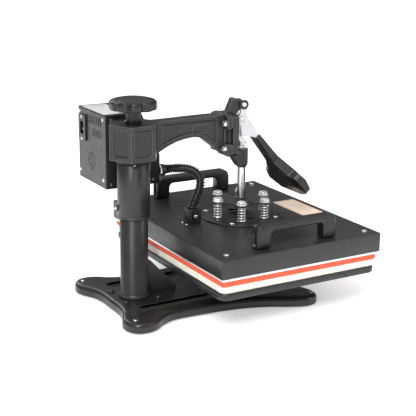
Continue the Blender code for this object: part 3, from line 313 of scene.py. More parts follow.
def remeshed(obj, voxel, passes):
    """Soften an object's solid: a voxel remesh and some smoothing passes."""
    remesh = obj.modifiers.new("remesh", "REMESH")
    remesh.mode = "VOXEL"
    remesh.voxel_size = voxel * MM
    remesh.use_smooth_shade = True
    soft = obj.modifiers.new("soft", "SMOOTH")
    soft.factor = 0.5
    soft.iterations = passes
    settle(obj)
    obj.data.shade_smooth()
    return obj


def cut(obj, bm, matrix=TO_METRES):
    """Cut a closed bmesh out of an object at once."""
    cutter = add_mesh("cutter", bm, matrix)
    boolean = obj.modifiers.new("cut", "BOOLEAN")
    boolean.operation = "DIFFERENCE"
    boolean.solver = "EXACT"
    boolean.object = cutter
    settle(obj)
    bpy.data.objects.remove(cutter, do_unlink=True)


def merge(into, *others):
    """Add other bmeshes to one, as separate shells."""
    for other in others:
        mesh = bpy.data.meshes.new("part")
        other.to_mesh(mesh)
        other.free()
        into.from_mesh(mesh)
        bpy.data.meshes.remove(mesh)
    return into


def box(low, high):
    bm = bmesh.new()
    bmesh.ops.create_cube(bm, size=1.0)
    bmesh.ops.scale(bm, vec=[b - a for a, b in zip(low, high)], verts=bm.verts)
    bmesh.ops.translate(bm, vec=[(a + b) / 2 for a, b in zip(low, high)], verts=bm.verts)
    return bm


def bridged(rings, around=False, capped=False):
    """Strips of faces between rings of points, back to the first ring when around, closed when capped."""
    bm = bmesh.new()
    loops = [[bm.verts.new(point) for point in ring] for ring in rings]
    for low, high in zip(loops, loops[1:] + loops[:1] if around else loops[1:]):
        for k in range(len(low)):
            n = (k + 1) % len(low)
            bm.faces.new((low[k], low[n], high[n], high[k]))
    if capped:
        bm.faces.new(loops[0])
        bm.faces.new(loops[-1])
    return bm


def prism(outline, low, high, axis="Z"):
    """Extrude a closed outline of (u, v) points from low to high along an axis."""
    place = {
        "X": lambda u, v, w: (w, u, v),
        "Y": lambda u, v, w: (u, w, v),
        "Z": lambda u, v, w: (u, v, w),
    }[axis]
    bm = bmesh.new()
    face = bm.faces.new([bm.verts.new(place(u, v, low)) for u, v in outline])
    extruded = bmesh.ops.extrude_face_region(bm, geom=[face])
    moved = [item for item in extruded["geom"] if isinstance(item, bmesh.types.BMVert)]
    bmesh.ops.translate(bm, vec=Vector(place(0, 0, high - low)), verts=moved)
    return bm


def lathe(profile, steps=96, centre=(0, 0, 0), wave=None):
    """Spin a profile of (radius, height) points round Z; wave(angle, radius) may push it out."""
    bm = bmesh.new()
    rings = []
    for radius, height in profile:
        if radius < 0.001:
            rings.append([bm.verts.new((0, 0, height))])
            continue
        ring = []
        for step in range(steps):
            angle = 2 * math.pi * step / steps
            r = radius + (wave(angle, radius) if wave else 0)
            ring.append(bm.verts.new((r * math.cos(angle), r * math.sin(angle), height)))
        rings.append(ring)
    for low, high in zip(rings, rings[1:]):
        for step in range(steps):
            n = (step + 1) % steps
            if len(low) == 1 and len(high) > 1:
                bm.faces.new((low[0], high[step], high[n]))
            elif len(high) == 1 and len(low) > 1:
                bm.faces.new((low[step], high[0], low[n]))
            elif len(low) > 1:
                bm.faces.new((low[step], high[step], high[n], low[n]))
    bmesh.ops.translate(bm, vec=centre, verts=bm.verts)
    return bm


def ring_lathe(profile, steps=96, centre=(0, 0, 0)):
    """Spin a closed profile into a ring or a tube with a wall."""
    bm = lathe(profile + profile[:1], steps, centre)
    bmesh.ops.remove_doubles(bm, verts=bm.verts, dist=0.001)
    return bm


def arc(cx, cy, radius, start, end, steps):
    points = []
    for k in range(steps + 1):
        angle = math.radians(start + (end - start) * k / steps)
        points.append((cx + radius * math.cos(angle), cy + radius * math.sin(angle)))
    return points


def on_circle(radius, degrees):
    return radius * math.cos(math.radians(degrees)), radius * math.sin(math.radians(degrees))


def rounded_rectangle(width, depth, radius, centre=(0, 0), steps=8):
    points = []
    for sx, sy, start in ((1, 1, 0), (-1, 1, 90), (-1, -1, 180), (1, -1, 270)):
        cx = centre[0] + sx * (width / 2 - radius)
        cy = centre[1] + sy * (depth / 2 - radius)
        points += arc(cx, cy, radius, start, start + 90, steps)
    return points


def inset(outline, distance):
    """An outline shrunk by a distance along its corner normals."""
    points = [Vector(p) for p in outline]
    shrunk = []
    for k, point in enumerate(points):
        along = (points[(k + 1) % len(points)] - points[k - 1]).normalized()
        shrunk.append((point.x - along.y * distance, point.y + along.x * distance))
    return shrunk


def shell(outline, levels, around=False):
    """A solid through rings of (inset, height): capped at both ends, or turned back on itself."""
    rings = [[(x, y, height) for x, y in inset(outline, distance)] for distance, height in levels]
    return bridged(rings, around, not around)


def rolled_edge(roll, top):
    """Levels for shell() that round a sheet's upper edge."""
    turns = [math.radians(a) for a in range(0, 91, 15)]
    return [(roll * (1 - math.cos(a)), top - roll * (1 - math.sin(a))) for a in turns]


def tube(path, radii, sides=12):
    """A tube along points, with flat ends and a radius at each point."""
    points = [Vector(p) for p in path]
    rings = []
    side = (points[1] - points[0]).normalized().orthogonal().normalized()
    for k, point in enumerate(points):
        ahead = (points[min(k + 1, len(points) - 1)] - points[max(k - 1, 0)]).normalized()
        side = (side - ahead * side.dot(ahead)).normalized()
        other = ahead.cross(side)
        turns = [2 * math.pi * step / sides for step in range(sides)]
        rings.append([point + (side * math.cos(a) + other * math.sin(a)) * radii[k] for a in turns])
    return bridged(rings, capped=True)


def smooth_route(points, steps):
    """Points along a Catmull-Rom curve through the given points."""
    rail = [Vector(p) for p in points]
    rail = [rail[0] * 2 - rail[1]] + rail + [rail[-1] * 2 - rail[-2]]
    smooth = []
    for k in range(1, len(rail) - 2):
        a, b, c, d = rail[k - 1:k + 3]
        for step in range(steps):
            t = step / steps
            smooth.append(0.5 * ((2 * b) + (c - a) * t + (2 * a - 5 * b + 4 * c - d) * t * t
                                 + (3 * b - a - 3 * c + d) * t ** 3))
    smooth.append(rail[-2])
    return smooth


def turn_to(bm, axis, place):
    """Turn a bmesh that stands along +Z so it points along an axis, and move it to a place."""
    matrix = Vector(axis).normalized().to_track_quat("Z", "Y").to_matrix().to_4x4()
    bm.transform(Matrix.Translation(Vector(place)) @ matrix)
    return bm


def hull(points):
    bm = bmesh.new()
    for point in points:
        bm.verts.new(point)
    bmesh.ops.convex_hull(bm, input=bm.verts)
    return bm


def copy_node(node, mat, body, smooth):
    """A piece that is a clean copy of a CAD node: corners welded and flat areas made one face."""
    bm = bmesh.new()
    bm.from_mesh(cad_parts[node].data)
    bmesh.ops.remove_doubles(bm, verts=bm.verts, dist=2e-6)
    bmesh.ops.dissolve_limit(bm, angle_limit=math.radians(0.5), verts=bm.verts, edges=bm.edges)
    return piece(node + "_finish", bm, mat, body, (node,), smooth, Matrix())


def refined(node, mat, body, width, segments=3):
    """Replace a CAD node by a copy of it with rounded edges."""
    return rounded(copy_node(node, mat, body, 30), width, segments)


def cast(node, mat, body, voxel, passes):
    """Replace a CAD node by a soft-edged casting."""
    return remeshed(copy_node(node, mat, body, 180), voxel, passes)


# ---- camera and light ---------------------------------------------------------------
def make_camera():
    """The camera stands behind the press on its left, at the photograph's angle."""
    yaw, pitch, roll = -0.5304, 0.2797, 0.0123
    forward = Vector((math.cos(yaw) * math.cos(pitch), math.sin(yaw) * math.cos(pitch), -math.sin(pitch)))
    level = Vector((math.sin(yaw), -math.cos(yaw), 0))
    up = level.cross(forward)
    right = level * math.cos(roll) + up * math.sin(roll)
    up = up * math.cos(roll) - level * math.sin(roll)
    camera = bpy.data.cameras.new("camera")
    camera.sensor_width = 36.0
    camera.lens = 89.678
    camera.clip_start = 0.01
    obj = add_object("camera", camera)
    turn = Matrix((right, up, -forward)).transposed().to_4x4()
    obj.matrix_world = Matrix.Translation(at(-1463.5, 924, 509.8)) @ turn
    bpy.context.scene.camera = obj


def area_light(name, place, size, power):
    """A rectangular light, placed in metres, that is aimed at the middle of the press."""
    light = bpy.data.lights.new(name, "AREA")
    light.shape = "RECTANGLE"
    light.size, light.size_y = size
    light.energy = power
    obj = add_object(name, light)
    obj.location = place
    aim = Vector((0, 0, 0.2)) - Vector(place)
    obj.rotation_euler = aim.to_track_quat("-Z", "Y").to_euler()


def make_light():
    """A studio with a bright ceiling, a darker horizon, a sun and three soft boxes."""
    world = bpy.data.worlds.new("studio")
    world.use_nodes = True
    tree = world.node_tree
    background = tree.nodes["Background"]
    split = tree.nodes.new("ShaderNodeSeparateXYZ")
    tree.links.new(tree.nodes.new("ShaderNodeTexCoord").outputs["Generated"], split.inputs[0])
    ramp = tree.nodes.new("ShaderNodeValToRGB")
    tree.links.new(split.outputs["Z"], ramp.inputs["Fac"])
    stops = ramp.color_ramp.elements
    stops[0].position, stops[0].color = 0.0, (0.10, 0.10, 0.10, 1)
    stops[1].position, stops[1].color = 1.0, (1.0, 1.0, 1.0, 1)
    for place, grey in ((0.12, 0.14), (0.35, 0.32), (0.6, 0.75)):
        stops.new(place).color = (grey, grey, grey, 1)
    tree.links.new(ramp.outputs["Color"], background.inputs["Color"])
    background.inputs["Strength"].default_value = 0.8
    bpy.context.scene.world = world
    bpy.context.scene.view_settings.view_transform = "Standard"
    area_light("key", (-1.3, 1.5, 1.1), (0.5, 1.2), 14)
    area_light("side", (-1.3, -1.3, 0.9), (0.5, 1.0), 6)
    area_light("rim", (1.6, 0.2, 1.0), (0.6, 1.2), 6)
    sun = bpy.data.lights.new("sun", "SUN")
    sun.energy = 1.7
    sun.angle = math.radians(30)
    add_object("sun", sun).rotation_euler = Vector((0.5, -0.45, -0.8)).to_track_quat("-Z", "Y").to_euler()


def make_floor():
    floor = surface("floor_paint", (0.9, 0.9, 0.9), 0.9, specular=0.1, vary=0.005, cloud=3, grain=60,
                    bump=0.02)
    shader = floor.node_tree.nodes["Principled BSDF"]
    shader.inputs["Emission Color"].default_value = (1, 1, 1, 1)
    shader.inputs["Emission Strength"].default_value = 0.42
    half = 40                                        # metres
    bm = bmesh.new()
    bm.faces.new([bm.verts.new((x * half, y * half, 0)) for x, y in ((-1, -1), (1, -1), (1, 1), (-1, 1))])
    piece("floor", bm, floor, None, matrix=Matrix())


# ---- fasteners ----------------------------------------------------------------------
def pan_head(radius):
    """A pan-head screw's head of that radius, standing on z = 0."""
    height = radius * 0.55
    profile = [(0, -0.1), (radius, -0.1), (radius, height * 0.35)]
    for degrees in range(15, 76, 15):
        across, up = on_circle(1, degrees)
        profile.append((radius * across, height * (0.35 + 0.65 * up)))
    return lathe(profile + [(0, height)], 28)


def recess(radius):
    """The cross that is cut into a pan head."""
    arm, half, deep = radius * 0.5, radius * 0.11, radius * 0.28
    cross = [(arm, -half), (arm, half), (half, half), (half, arm), (-half, arm), (-half, half),
             (-arm, half), (-arm, -half), (-half, -half), (-half, -arm), (half, -arm), (half, -half)]
    return prism(cross, radius * 0.55 - deep, radius)


HEADS = {}                                           # screw heads' meshes, by radius and material


def screw(name, place, axis, radius, body, mat=CHROME, spin=0.0):
    """A pan-head screw; heads of one size share a mesh."""
    key = (radius, mat.name)
    if key not in HEADS:
        model = piece("screw_head", pan_head(radius), mat, None, matrix=LOCAL)
        cut(model, recess(radius), LOCAL)
        sharpen(model, 35)
        HEADS[key] = model.data
        bpy.data.objects.remove(model, do_unlink=True)
    obj = add_object(name, HEADS[key])
    turn = Vector(axis).normalized().to_track_quat("Z", "Y").to_matrix().to_4x4()
    obj.matrix_world = Matrix.Translation(at(*place)) @ turn @ Matrix.Rotation(spin, 4, "Z")
    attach(obj, body)


def hex_head(across_corners, height):
    """A hexagon head with its upper corners turned off, standing on z = 0."""
    radius = across_corners / 2
    flat = radius * math.cos(math.radians(30))
    sides = 48
    rings = []
    for level, limit in ((0, radius), (height * 0.72, radius), (height * 0.9, flat * 1.02),
                         (height, flat * 0.88)):
        ring = []
        for k in range(sides):
            angle = 2 * math.pi * k / sides
            off = (angle + math.radians(30)) % math.radians(60) - math.radians(30)
            r = min(limit, flat / math.cos(off))
            ring.append((r * math.cos(angle), r * math.sin(angle), level))
        rings.append(ring)
    return bridged(rings, capped=True)


def washer(inner, outer, low, high, centre=(0, 0, 0)):
    profile = [(inner, low), (outer - 0.2, low), (outer, low + 0.2), (outer, high - 0.2),
               (outer - 0.2, high), (inner, high)]
    return ring_lathe(profile, 40, centre)


# ---- base and column ----------------------------------------------------------------
COLUMN_AXIS = (0, COLUMN_Y, 0)
CORNERS = [(sx, sy) for sx in (-1, 1) for sy in (-1, 1)]
RIM_LOW = BASE_TOP - 16
SLOT_X, SLOT_ENDS, SLOT_RADIUS = 62, (98, 219), 11


def base_outline():
    """Four round lobes joined by hollowed sides, seen from above; one half is drawn and mirrored."""
    half = [(0, -60), (28, -60), (55, -60), (85, -62), (105, -69), (123, -73), (139, -68), (147, -54),
            (146, -36), (136, -12), (122, 14), (109, 50), (101, 90), (97, 129), (95, 165), (97, 187),
            (106, 207), (117, 222), (123, 239), (120, 257), (107, 268), (88, 270), (70, 263), (54, 255),
            (30, 251), (0, 251)]
    right = [(p.x, p.y) for p in smooth_route([(x, y, 0) for x, y in half], 6)]
    left = [(-x, y) for x, y in reversed(right)][1:-1]
    return right + left


def make_base():
    """The pressed base plate with its two grooves, its bolts and its feet."""
    levels = [(3, BASE_TOP - 4.5), (3, RIM_LOW), (0.6, RIM_LOW), (0, RIM_LOW + 0.6)]
    plate = piece("base_plate_finish", shell(base_outline(), levels + rolled_edge(7, BASE_TOP)), BASE_PAINT,
                  "base", ("base_plate",))
    rim = [(0, BASE_TOP - 12), (0, BASE_TOP - 0.4), (-0.6, BASE_TOP + 0.3), (-1.6, BASE_TOP + 0.1),
           (-2, BASE_TOP - 0.6), (-2, BASE_TOP - 12)]
    for side, name in SIDES:
        front, rear = SLOT_ENDS
        slot = arc(side * SLOT_X, rear, SLOT_RADIUS, 0, 180, 16)
        slot += arc(side * SLOT_X, front, SLOT_RADIUS, 180, 360, 16)
        cut(plate, prism(slot, RIM_LOW - 5, BASE_TOP + 5))
        piece("slot_rim_" + name, shell(slot, rim, around=True), BASE_PAINT, "base")
        for x, y, end in ((102.5, 255, "rear"), (131, -61, "front")):
            place = (side * x, y, BASE_TOP)
            screw("base_screw_%s_%s" % (end, name), place, (0, 0, 1), 3.6, "base", spin=0.4)
    sharpen(plate)
    for k, (sx, sy) in enumerate(CORNERS, 1):
        centre = (sx * 29, COLUMN_Y + sy * 29, BASE_TOP)
        piece("column_washer_%d" % k, washer(0.5, 7, 0.02, 1.2, centre), BASE_PAINT, "base")
        dome = [(0, 1), (4.6, 1), (4.6, 2), (3.8, 3.4), (2.2, 4.2), (0, 4.4)]
        piece("column_bolt_%d" % k, lathe(dome, 32, centre), BASE_PAINT, "base")
    for name in ("foot_rear_right", "foot_rear_left", "foot_front_right", "foot_front_left"):
        low, high = span(name)
        middle = (low + high) / 2
        radius, tall = (high.x - low.x) / 2, high.z - low.z
        profile = [(0, 0), (3, 0), (3.4, 1.6), (5, 1.6), (5.4, 0), (radius - 2, 0), (radius - 0.8, 0.5),
                   (radius - 0.3, 1.6), (radius, tall - 1), (radius - 1, tall), (0, tall)]
        piece(name + "_finish", lathe(profile, 48, (middle.x, middle.y, low.z)), RUBBER, "base", (name,))


def make_column():
    """The column with its weld bead, and the rib behind it."""
    bottom = BASE_TOP + 0.3
    top = COLUMN_HIGH.z
    radius, inner = 23.2, 20.2
    profile = [(inner, bottom), (radius + 3.6, bottom), (radius + 4, bottom + 0.8),
               (radius + 3.6, bottom + 2.4), (radius + 2.4, bottom + 3.6), (radius + 1, bottom + 4.6),
               (radius, bottom + 6.4), (radius, top - 1), (radius - 1, top), (inner + 0.5, top),
               (inner, top - 0.5)]
    piece("column_finish", ring_lathe(profile, 128, COLUMN_AXIS), PAINT, "base", ("column_tube",),
          50)
    bead = weld_bead(radius + 2.4, bottom + 2.6, 1.9)
    piece("column_weld", bead, PAINT, "base", smooth=60)
    refined("column_gusset", PAINT, "base", 1.2, 3)


def weld_bead(radius, height, thick):
    """A ring round the column whose thickness ripples."""
    around, section = 240, 10
    rings = []
    for step in range(around):
        angle = 2 * math.pi * step / around
        swell = thick * (1 + 0.13 * math.sin(angle * 46) + 0.06 * math.sin(angle * 7))
        ring = []
        for k in range(section):
            turn = 2 * math.pi * k / section
            r = radius + swell * math.cos(turn)
            ring.append((r * math.cos(angle), COLUMN_Y + r * math.sin(angle),
                         height + swell * math.sin(turn)))
        rings.append(ring)
    return bridged(rings, around=True)


def make_stand():
    """The pedestal under the lower platen."""
    low, high = span("lower_stand")
    profile = [(0, low.z), (47, low.z), (48, low.z + 1), (48, low.z + 3.4)]
    profile += arc(34, low.z + 8, 4, -90, -180, 6)
    profile += [(30, high.z - 10), (31, high.z - 8), (34, high.z - 5.5), (58, high.z - 4),
                (59.6, high.z - 3), (60, high.z - 1), (59, high.z), (0, high.z)]
    piece("lower_stand_finish", lathe(profile), CASTING, "base", ("lower_stand",))
    for k in range(4):
        place = (*on_circle(41, 45 + 90 * k), low.z + 3.7)
        screw("stand_screw_%d" % (k + 1), place, (0, 0, 1), 3.4, "base", DARK_STEEL, k)


# ---- the stack of pads --------------------------------------------------------------
def footprint(node, corner, steps):
    """The bottom and top heights of a CAD node's box, and its round-cornered outline from above."""
    low, high = span(node)
    return low.z, high.z, rounded_rectangle(high.x - low.x, high.y - low.y, corner, (0, 0), steps)


def frayed(obj, size, seed):
    """Move a slab's sides in a little, unevenly, as cut felt or foam is."""
    scale = 160                                      # of the noise, a metre
    for vert in obj.data.vertices:
        x, y, z = vert.co
        push = noise.noise(Vector((x * scale + seed, y * scale, z * scale * 4))) * size * MM
        vert.co = vert.co - Vector((x, y - PLATEN_Y, 0)).normalized() * abs(push)


def dense_edges(outline, length):
    """An outline with extra points so no edge is longer than length."""
    points = []
    for k, (x, y) in enumerate(outline):
        nx, ny = outline[(k + 1) % len(outline)]
        parts = max(1, math.ceil(math.hypot(nx - x, ny - y) / length))
        points += [(x + (nx - x) * j / parts, y + (ny - y) * j / parts) for j in range(parts)]
    return points


def pad(node, corner, mat, shares, ripple, seed):
    """A soft pad; shares are (inset, share of the height) pairs from its lower face up."""
    bottom, top, outline = footprint(node, corner, 8)
    levels = [(distance, bottom + (top - bottom) * share) for distance, share in shares]
    obj = piece(node + "_finish", shell(dense_edges(outline, 3), levels), mat, "base", (node,), 70)
    frayed(obj, ripple, seed)


def make_pads():
    bottom, top, outline = footprint("lower_platen", 15, 10)
    shares = [(3, 0), (0.9, 0.08), (0, 0.25), (0, 0.75), (0.3, 0.86), (1, 0.95), (2.4, 1)]
    levels = [(distance, bottom + (top - bottom) * share) for distance, share in shares]
    piece("lower_platen_finish", shell(outline, levels), PAINT, "base", ("lower_platen",),
          50)
    pad("felt_pad", 12, FELT,
        [(1.6, 0), (0.6, 0.05), (0.15, 0.16), (0.0, 0.3), (0.25, 0.45), (0.05, 0.6), (0.2, 0.75), (0.5, 0.9),
         (1.4, 1)], 0.9, 3.1)
    pad("silicone_pad", 4, SILICONE,
        [(0.7, 0), (0.15, 0.08), (0, 0.25), (0.12, 0.5), (0, 0.75), (0.15, 0.92), (0.7, 1)], 0.35, 7.7)


# ---- riser, knob, screw and nut -----------------------------------------------------
def make_knob():
    """The ten-lobed pressure knob."""
    bottom, rim, top = 205, 219, 225
    edge, lobes, groove = 38.5, 10, 4.0

    def lobed(angle, r):
        share = (angle * lobes / (2 * math.pi)) % 1
        off = abs(share - 0.5) * 2                   # 0 in a lobe's middle, 1 in the groove
        notch = max(0.0, (off - 0.55) / 0.45)
        fade = min(max((r - 31) / 6.5, 0.0), 1.0)
        return -(groove * notch * notch * (3 - 2 * notch) + 0.5 * off * off) * fade

    profile = [(0, bottom), (20, bottom), (edge - 2.4, bottom), (edge - 0.9, bottom + 0.5),
               (edge, bottom + 2.2), (edge, rim - 3.6)]
    profile += arc(edge - 5, rim - 3.6, 5, 15, 75, 4)
    profile += [(31.5, rim + 2.1), (28, rim + 3.0), (23, rim + 4.0), (17, rim + 4.9), (11, rim + 5.5),
                (5, top - 0.1), (0, top)]
    piece("pressure_knob_finish", lathe(profile, 240, COLUMN_AXIS, lobed), PLASTIC, "knob",
          ("pressure_knob",), 50)
    low = span("pressure_knob")[0].z
    stem = [(6.4, low), (13.4, low), (14, low + 0.6), (14, low + 2.6), (13.4, low + 3.2), (12.3, low + 4),
            (12.3, bottom + 0.5), (6.4, bottom + 0.5)]
    piece("knob_stem", ring_lathe(stem, 64, COLUMN_AXIS), PLASTIC, "knob")


def make_riser():
    """What is inside the column: the post, the fixed nut and the knob's screw."""
    low, high = (corner.z for corner in span("inner_post"))
    post, flange, bore, hole = 18.5, 21.5, 15.5, 8.5
    profile = [(bore, low), (post - 0.6, low), (post, low + 0.6), (post, high - 5), (flange - 0.5, high - 5),
               (flange, high - 4.5), (flange, high - 0.5), (flange - 0.5, high), (hole, high),
               (hole, high - 5), (bore, high - 5)]
    piece("inner_post_finish", ring_lathe(profile, 96, COLUMN_AXIS), STEEL, "riser", ("inner_post",))
    low, high = (corner.z for corner in span("screw_nut"))
    inner, outer = 6.3, 19.9
    profile = [(inner, low + 0.6), (inner + 0.6, low), (outer - 0.8, low), (outer, low + 0.8),
               (outer, high - 0.8), (outer - 0.8, high), (inner + 0.6, high), (inner, high - 0.6)]
    piece("screw_nut_finish", ring_lathe(profile, 80, COLUMN_AXIS), BRONZE, "base", ("screw_nut",))
    low, high = (corner.z for corner in span("lead_screw"))
    crest, pitch, plain = 6, 4, 60
    root = crest - 0.9
    profile = [(0, low), (root, low)]
    z = low + 1
    while z < high - plain:
        profile += [(root, z), (crest, z + 0.6), (crest, z + 1.8), (root, z + 2.4)]
        z += pitch
    profile += [(crest, z), (crest, high), (0, high)]
    piece("lead_screw_finish", lathe(profile, 32, COLUMN_AXIS), STEEL, "knob", ("lead_screw",))


# ---- head ---------------------------------------------------------------------------
def make_sleeve():
    """The sleeve that swings on the column, with its notch and its lock screw."""
    low, high = (corner.z for corner in span("swing_sleeve"))
    inner, outer = 23.6, 27
    profile = [(inner, low), (outer - 1, low), (outer - 0.3, low + 0.3), (outer, low + 1), (outer, low + 3),
               (outer - 0.25, low + 3.3), (outer, low + 3.6), (outer, high - 0.6), (outer - 0.6, high),
               (inner, high)]
    obj = piece("swing_sleeve_finish", ring_lathe(profile, 128, COLUMN_AXIS), PAINT, "head",
                ("swing_sleeve",), 50)
    notch = box((-outer - 2, -3, high - 5), (-inner + 2, 3, high + 2))
    notch.transform(Matrix.Translation(COLUMN_AXIS) @ Matrix.Rotation(math.radians(-20), 4, "Z"))
    cut(obj, notch)
    low, high = span("lock_screw")
    out = Vector((*on_circle(1, 72), 0))
    place = Vector((0, COLUMN_Y, (low.z + high.z) / 2)) + out * (outer + 0.1)
    profile = [(0, 0), (4, 0), (4, 6), (3.4, 6.8), (2.2, 7), (2.0, 4.6), (0, 4.6)]
    piece("lock_screw_finish", turn_to(lathe(profile, 32), out, place), CHROME, "head", ("lock_screw",))
    collar = [(4, 0), (5.6, 0), (5.6, 1.2), (5, 1.6), (4.1, 1.6)]
    piece("lock_screw_collar", turn_to(ring_lathe(collar, 32), out, place), PAINT, "head")


def make_castings():
    """The head's arm and the toggle's bracket, with the four bolts that join them."""
    cast("head_arm", CASTING, "head", 0.85, 5)
    cast("toggle_bracket", CASTING, "head", 0.7, 4)
    for side, name in SIDES:                         # a raised frame on each side of the arm
        outer = rounded_rectangle(34, 15, 2.4, (86, 163), 5)
        inner = rounded_rectangle(31, 12, 1.4, (86, 163), 5)
        rings = []
        for outline, x in ((outer, 8.8), (outer, 10), (inner, 10), (inner, 8.8)):
            rings.append([(side * x, y, z) for y, z in outline])
        frame_piece = piece("arm_frame_" + name, bridged(rings, around=True), CASTING, "head")
        rounded(frame_piece, 0.35, 2)
    for k, (sx, sz) in enumerate(CORNERS, 1):
        x, z = sx * 20.5, 149 + sz * 21
        head = turn_to(hex_head(10.5, 4.6), (0, 1, 0), (x, 46.8, z))
        rounded(piece("flange_bolt_%d" % k, head, CHROME, "head"), 0.25, 2)
        ring = turn_to(washer(2.6, 6.2, 0, 0.8), (0, 1, 0), (x, 46.02, z))
        piece("flange_washer_%d" % k, ring, CHROME, "head")
        dome = [(0, 0), (4.4, 0), (4.4, 1.6), (3.6, 3.2), (2, 4), (0, 4.2)]
        piece("flange_nut_%d" % k, turn_to(lathe(dome, 32), (0, -1, 0), (x, 24, z)), CHROME, "head")


def pin(node, middle, half, radius, body):
    """A pivot pin across the toggle with dished ends."""
    profile = [(0, -half + 0.5), (0.8, -half + 0.5), (1.4, -half), (radius - 0.7, -half),
               (radius, -half + 0.7), (radius, half - 0.7), (radius - 0.7, half), (1.4, half),
               (0.8, half - 0.5), (0, half - 0.5)]
    bm = turn_to(lathe(profile, 40), (1, 0, 0), (0, *middle))
    piece(node + "_finish", bm, CHROME, body, (node,))


def make_toggle():
    """The lever, the link, the press rod and their pins."""
    fixed, middle, shaft = (3, 197), (7, 172.5), (0, 128.5)      # the pins' (y, z)
    refined("lever_fork", LEVER_STEEL, "lever", 1.1, 3)
    refined("toggle_link", LEVER_STEEL, "link", 1.0, 3)
    pin("pivot_pin", fixed, 11.1, 4, "head")
    low, high = span("middle_pin")
    reach = high.x - low.x
    profile = [(0, 0), (3.1, 0), (3.1, reach - 0.6), (2.5, reach), (0.9, reach), (0, reach - 0.5)]
    bm = turn_to(lathe(profile, 32), (-1, 0, 0), (high.x, *middle))
    piece("middle_pin_finish", bm, CHROME, "lever", ("middle_pin",))
    pin("shaft_pin", shaft, 7.5, 3, "press")
    hub = [(3.4, 0), (6.2, 0), (6.2, 0.7), (5.6, 1.1), (4.2, 1.1), (3.4, 0.8)]
    cap = [(4.2, 0), (8.2, 0), (8.4, 0.4), (8, 1.1), (4.6, 1.2), (4.2, 0.9)]
    for side, name in SIDES:
        bm = turn_to(ring_lathe(hub, 40), (side, 0, 0), (side * 9.6, *middle))
        piece("lever_hub_" + name, bm, LEVER_STEEL, "lever")
        bm = turn_to(ring_lathe(cap, 40), (side, 0, 0), (side * 9.62, *fixed))
        piece("pivot_clip_" + name, bm, PAINT, "head")
    # The rod's material paints dark reflections and a bright stripe onto it.
    rod = refined("press_shaft", SHAFT_STEEL, "press", 0.5, 2)
    rod.data.shade_smooth()
    sharpen(rod, 30)
    collar = [(7, 0), (8.6, 0), (9, 0.4), (9, 2.2), (8.4, 2.8), (7, 2.8)]
    piece("shaft_collar", ring_lathe(collar, 64, (0, 0, 32.3)), DARK_STEEL, "press")


def grip_points(corners):
    """Points of the grip, mirrored over both of its middle planes.

    A corner is x across, s down the grip's length from the neck's mouth, n out of its flat face.
    """
    start, end = Vector((0, -24, 141)), Vector((0, -111, 38))
    along = (end - start).normalized()
    out = Vector((0, -along.z, along.y))
    return [start + Vector((sx * x, 0, 0)) + along * s + out * (sn * n)
            for x, s, n in corners for sx, sn in CORNERS]


def make_grip():
    """A moulded T grip: a neck over the lever's shank that swells into a wide palm bar."""
    sections = [
        [(9, 1, 5.8), (11.4, 1, 3), (11.6, 40, 4), (12.5, 72, 6), (9.5, 72, 8.8), (8.8, 40, 7.2)],
        [(9.5, 58, 8.0), (12, 58, 5), (17, 78, 6.5), (38, 93, 8), (32, 96, 11), (10, 78, 11)],
        [(36, 88, 6.5), (30, 87, 9.5), (36, 136, 4.5), (31, 136, 8), (28, 112, 12),
         (45, 92, 6), (50, 98, 6), (50, 128, 5.5), (44, 134, 5.5), (45, 112, 10.5)],
    ]
    bm = merge(bmesh.new(), *(hull(grip_points(corners)) for corners in sections))
    grip = piece("lever_grip_finish", bm, GRIP_PLASTIC, "lever", ("lever_grip",), 180)
    remeshed(grip, 0.8, 6)
    cut(grip, hull(grip_points([(9.9, -4, 4.75), (9.9, 22.5, 4.75)])))
    sharpen(grip, 45)


# ---- spring plate, springs and bolts ------------------------------------------------
BOLT_RING = 46
SPRING_TURNS = 6.5


def make_spring_plate():
    """The six-lobed plate on the rod, the disc under it, and the bolts and springs between them."""
    refined("spring_plate", PAINT, "press", 0.5, 2)
    low, high = (corner.z for corner in span("mounting_disc"))
    profile = [(12, low), (69.3, low), (69.5, low + 0.3), (69.5, high - 0.8), (69.2, high - 0.2),
               (68.6, high), (12.6, high), (12, high - 0.6)]
    disc = piece("mounting_disc_finish", ring_lathe(profile, 144), PAINT, "platen", ("mounting_disc",),
                 50)
    for side in (-1, 1):
        cut(disc, lathe([(0, -1), (6.5, -1), (6.5, 5), (0, 5)], 40, (side * 31, 0, low)))
    for k in range(4):
        place = (*on_circle(62, 45 + 90 * k), 3.0)
        screw("disc_screw_%d" % (k + 1), place, (0, 0, 1), 4.6, "platen", spin=0.5 * k)
    head_low = span("spring_plate")[1].z + 0.3
    for k in range(6):
        x, y = on_circle(BOLT_RING, 30 + 60 * k)
        make_spring_bolt(k + 1, x, y, high + 0.3, head_low)
        make_spring(k + 1, x, y)


def make_spring_bolt(number, x, y, shank_low, head_low):
    """A hexagon bolt with its washer on the plate and its shank down to the disc."""
    node = "spring_bolt_%d" % number
    head = hex_head(16.4, 5.6)
    head.transform(Matrix.Translation((x, y, head_low)) @ Matrix.Rotation(math.radians(11 * number), 4, "Z"))
    rounded(piece(node + "_finish", head, BOLT_STEEL, "platen", (node,), 25), 0.3, 2, 25)
    shank = [(0, shank_low), (3.4, shank_low), (3.9, shank_low + 0.5), (3.9, head_low + 0.6),
             (0, head_low + 0.6)]
    piece("spring_shank_%d" % number, lathe(shank, 32, (x, y, 0)), DARK_STEEL, "platen")
    ring = washer(4.2, 8.8, head_low - 0.28, head_low + 0.9, (x, y, 0))
    piece("spring_washer_%d" % number, ring, BOLT_STEEL, "platen")


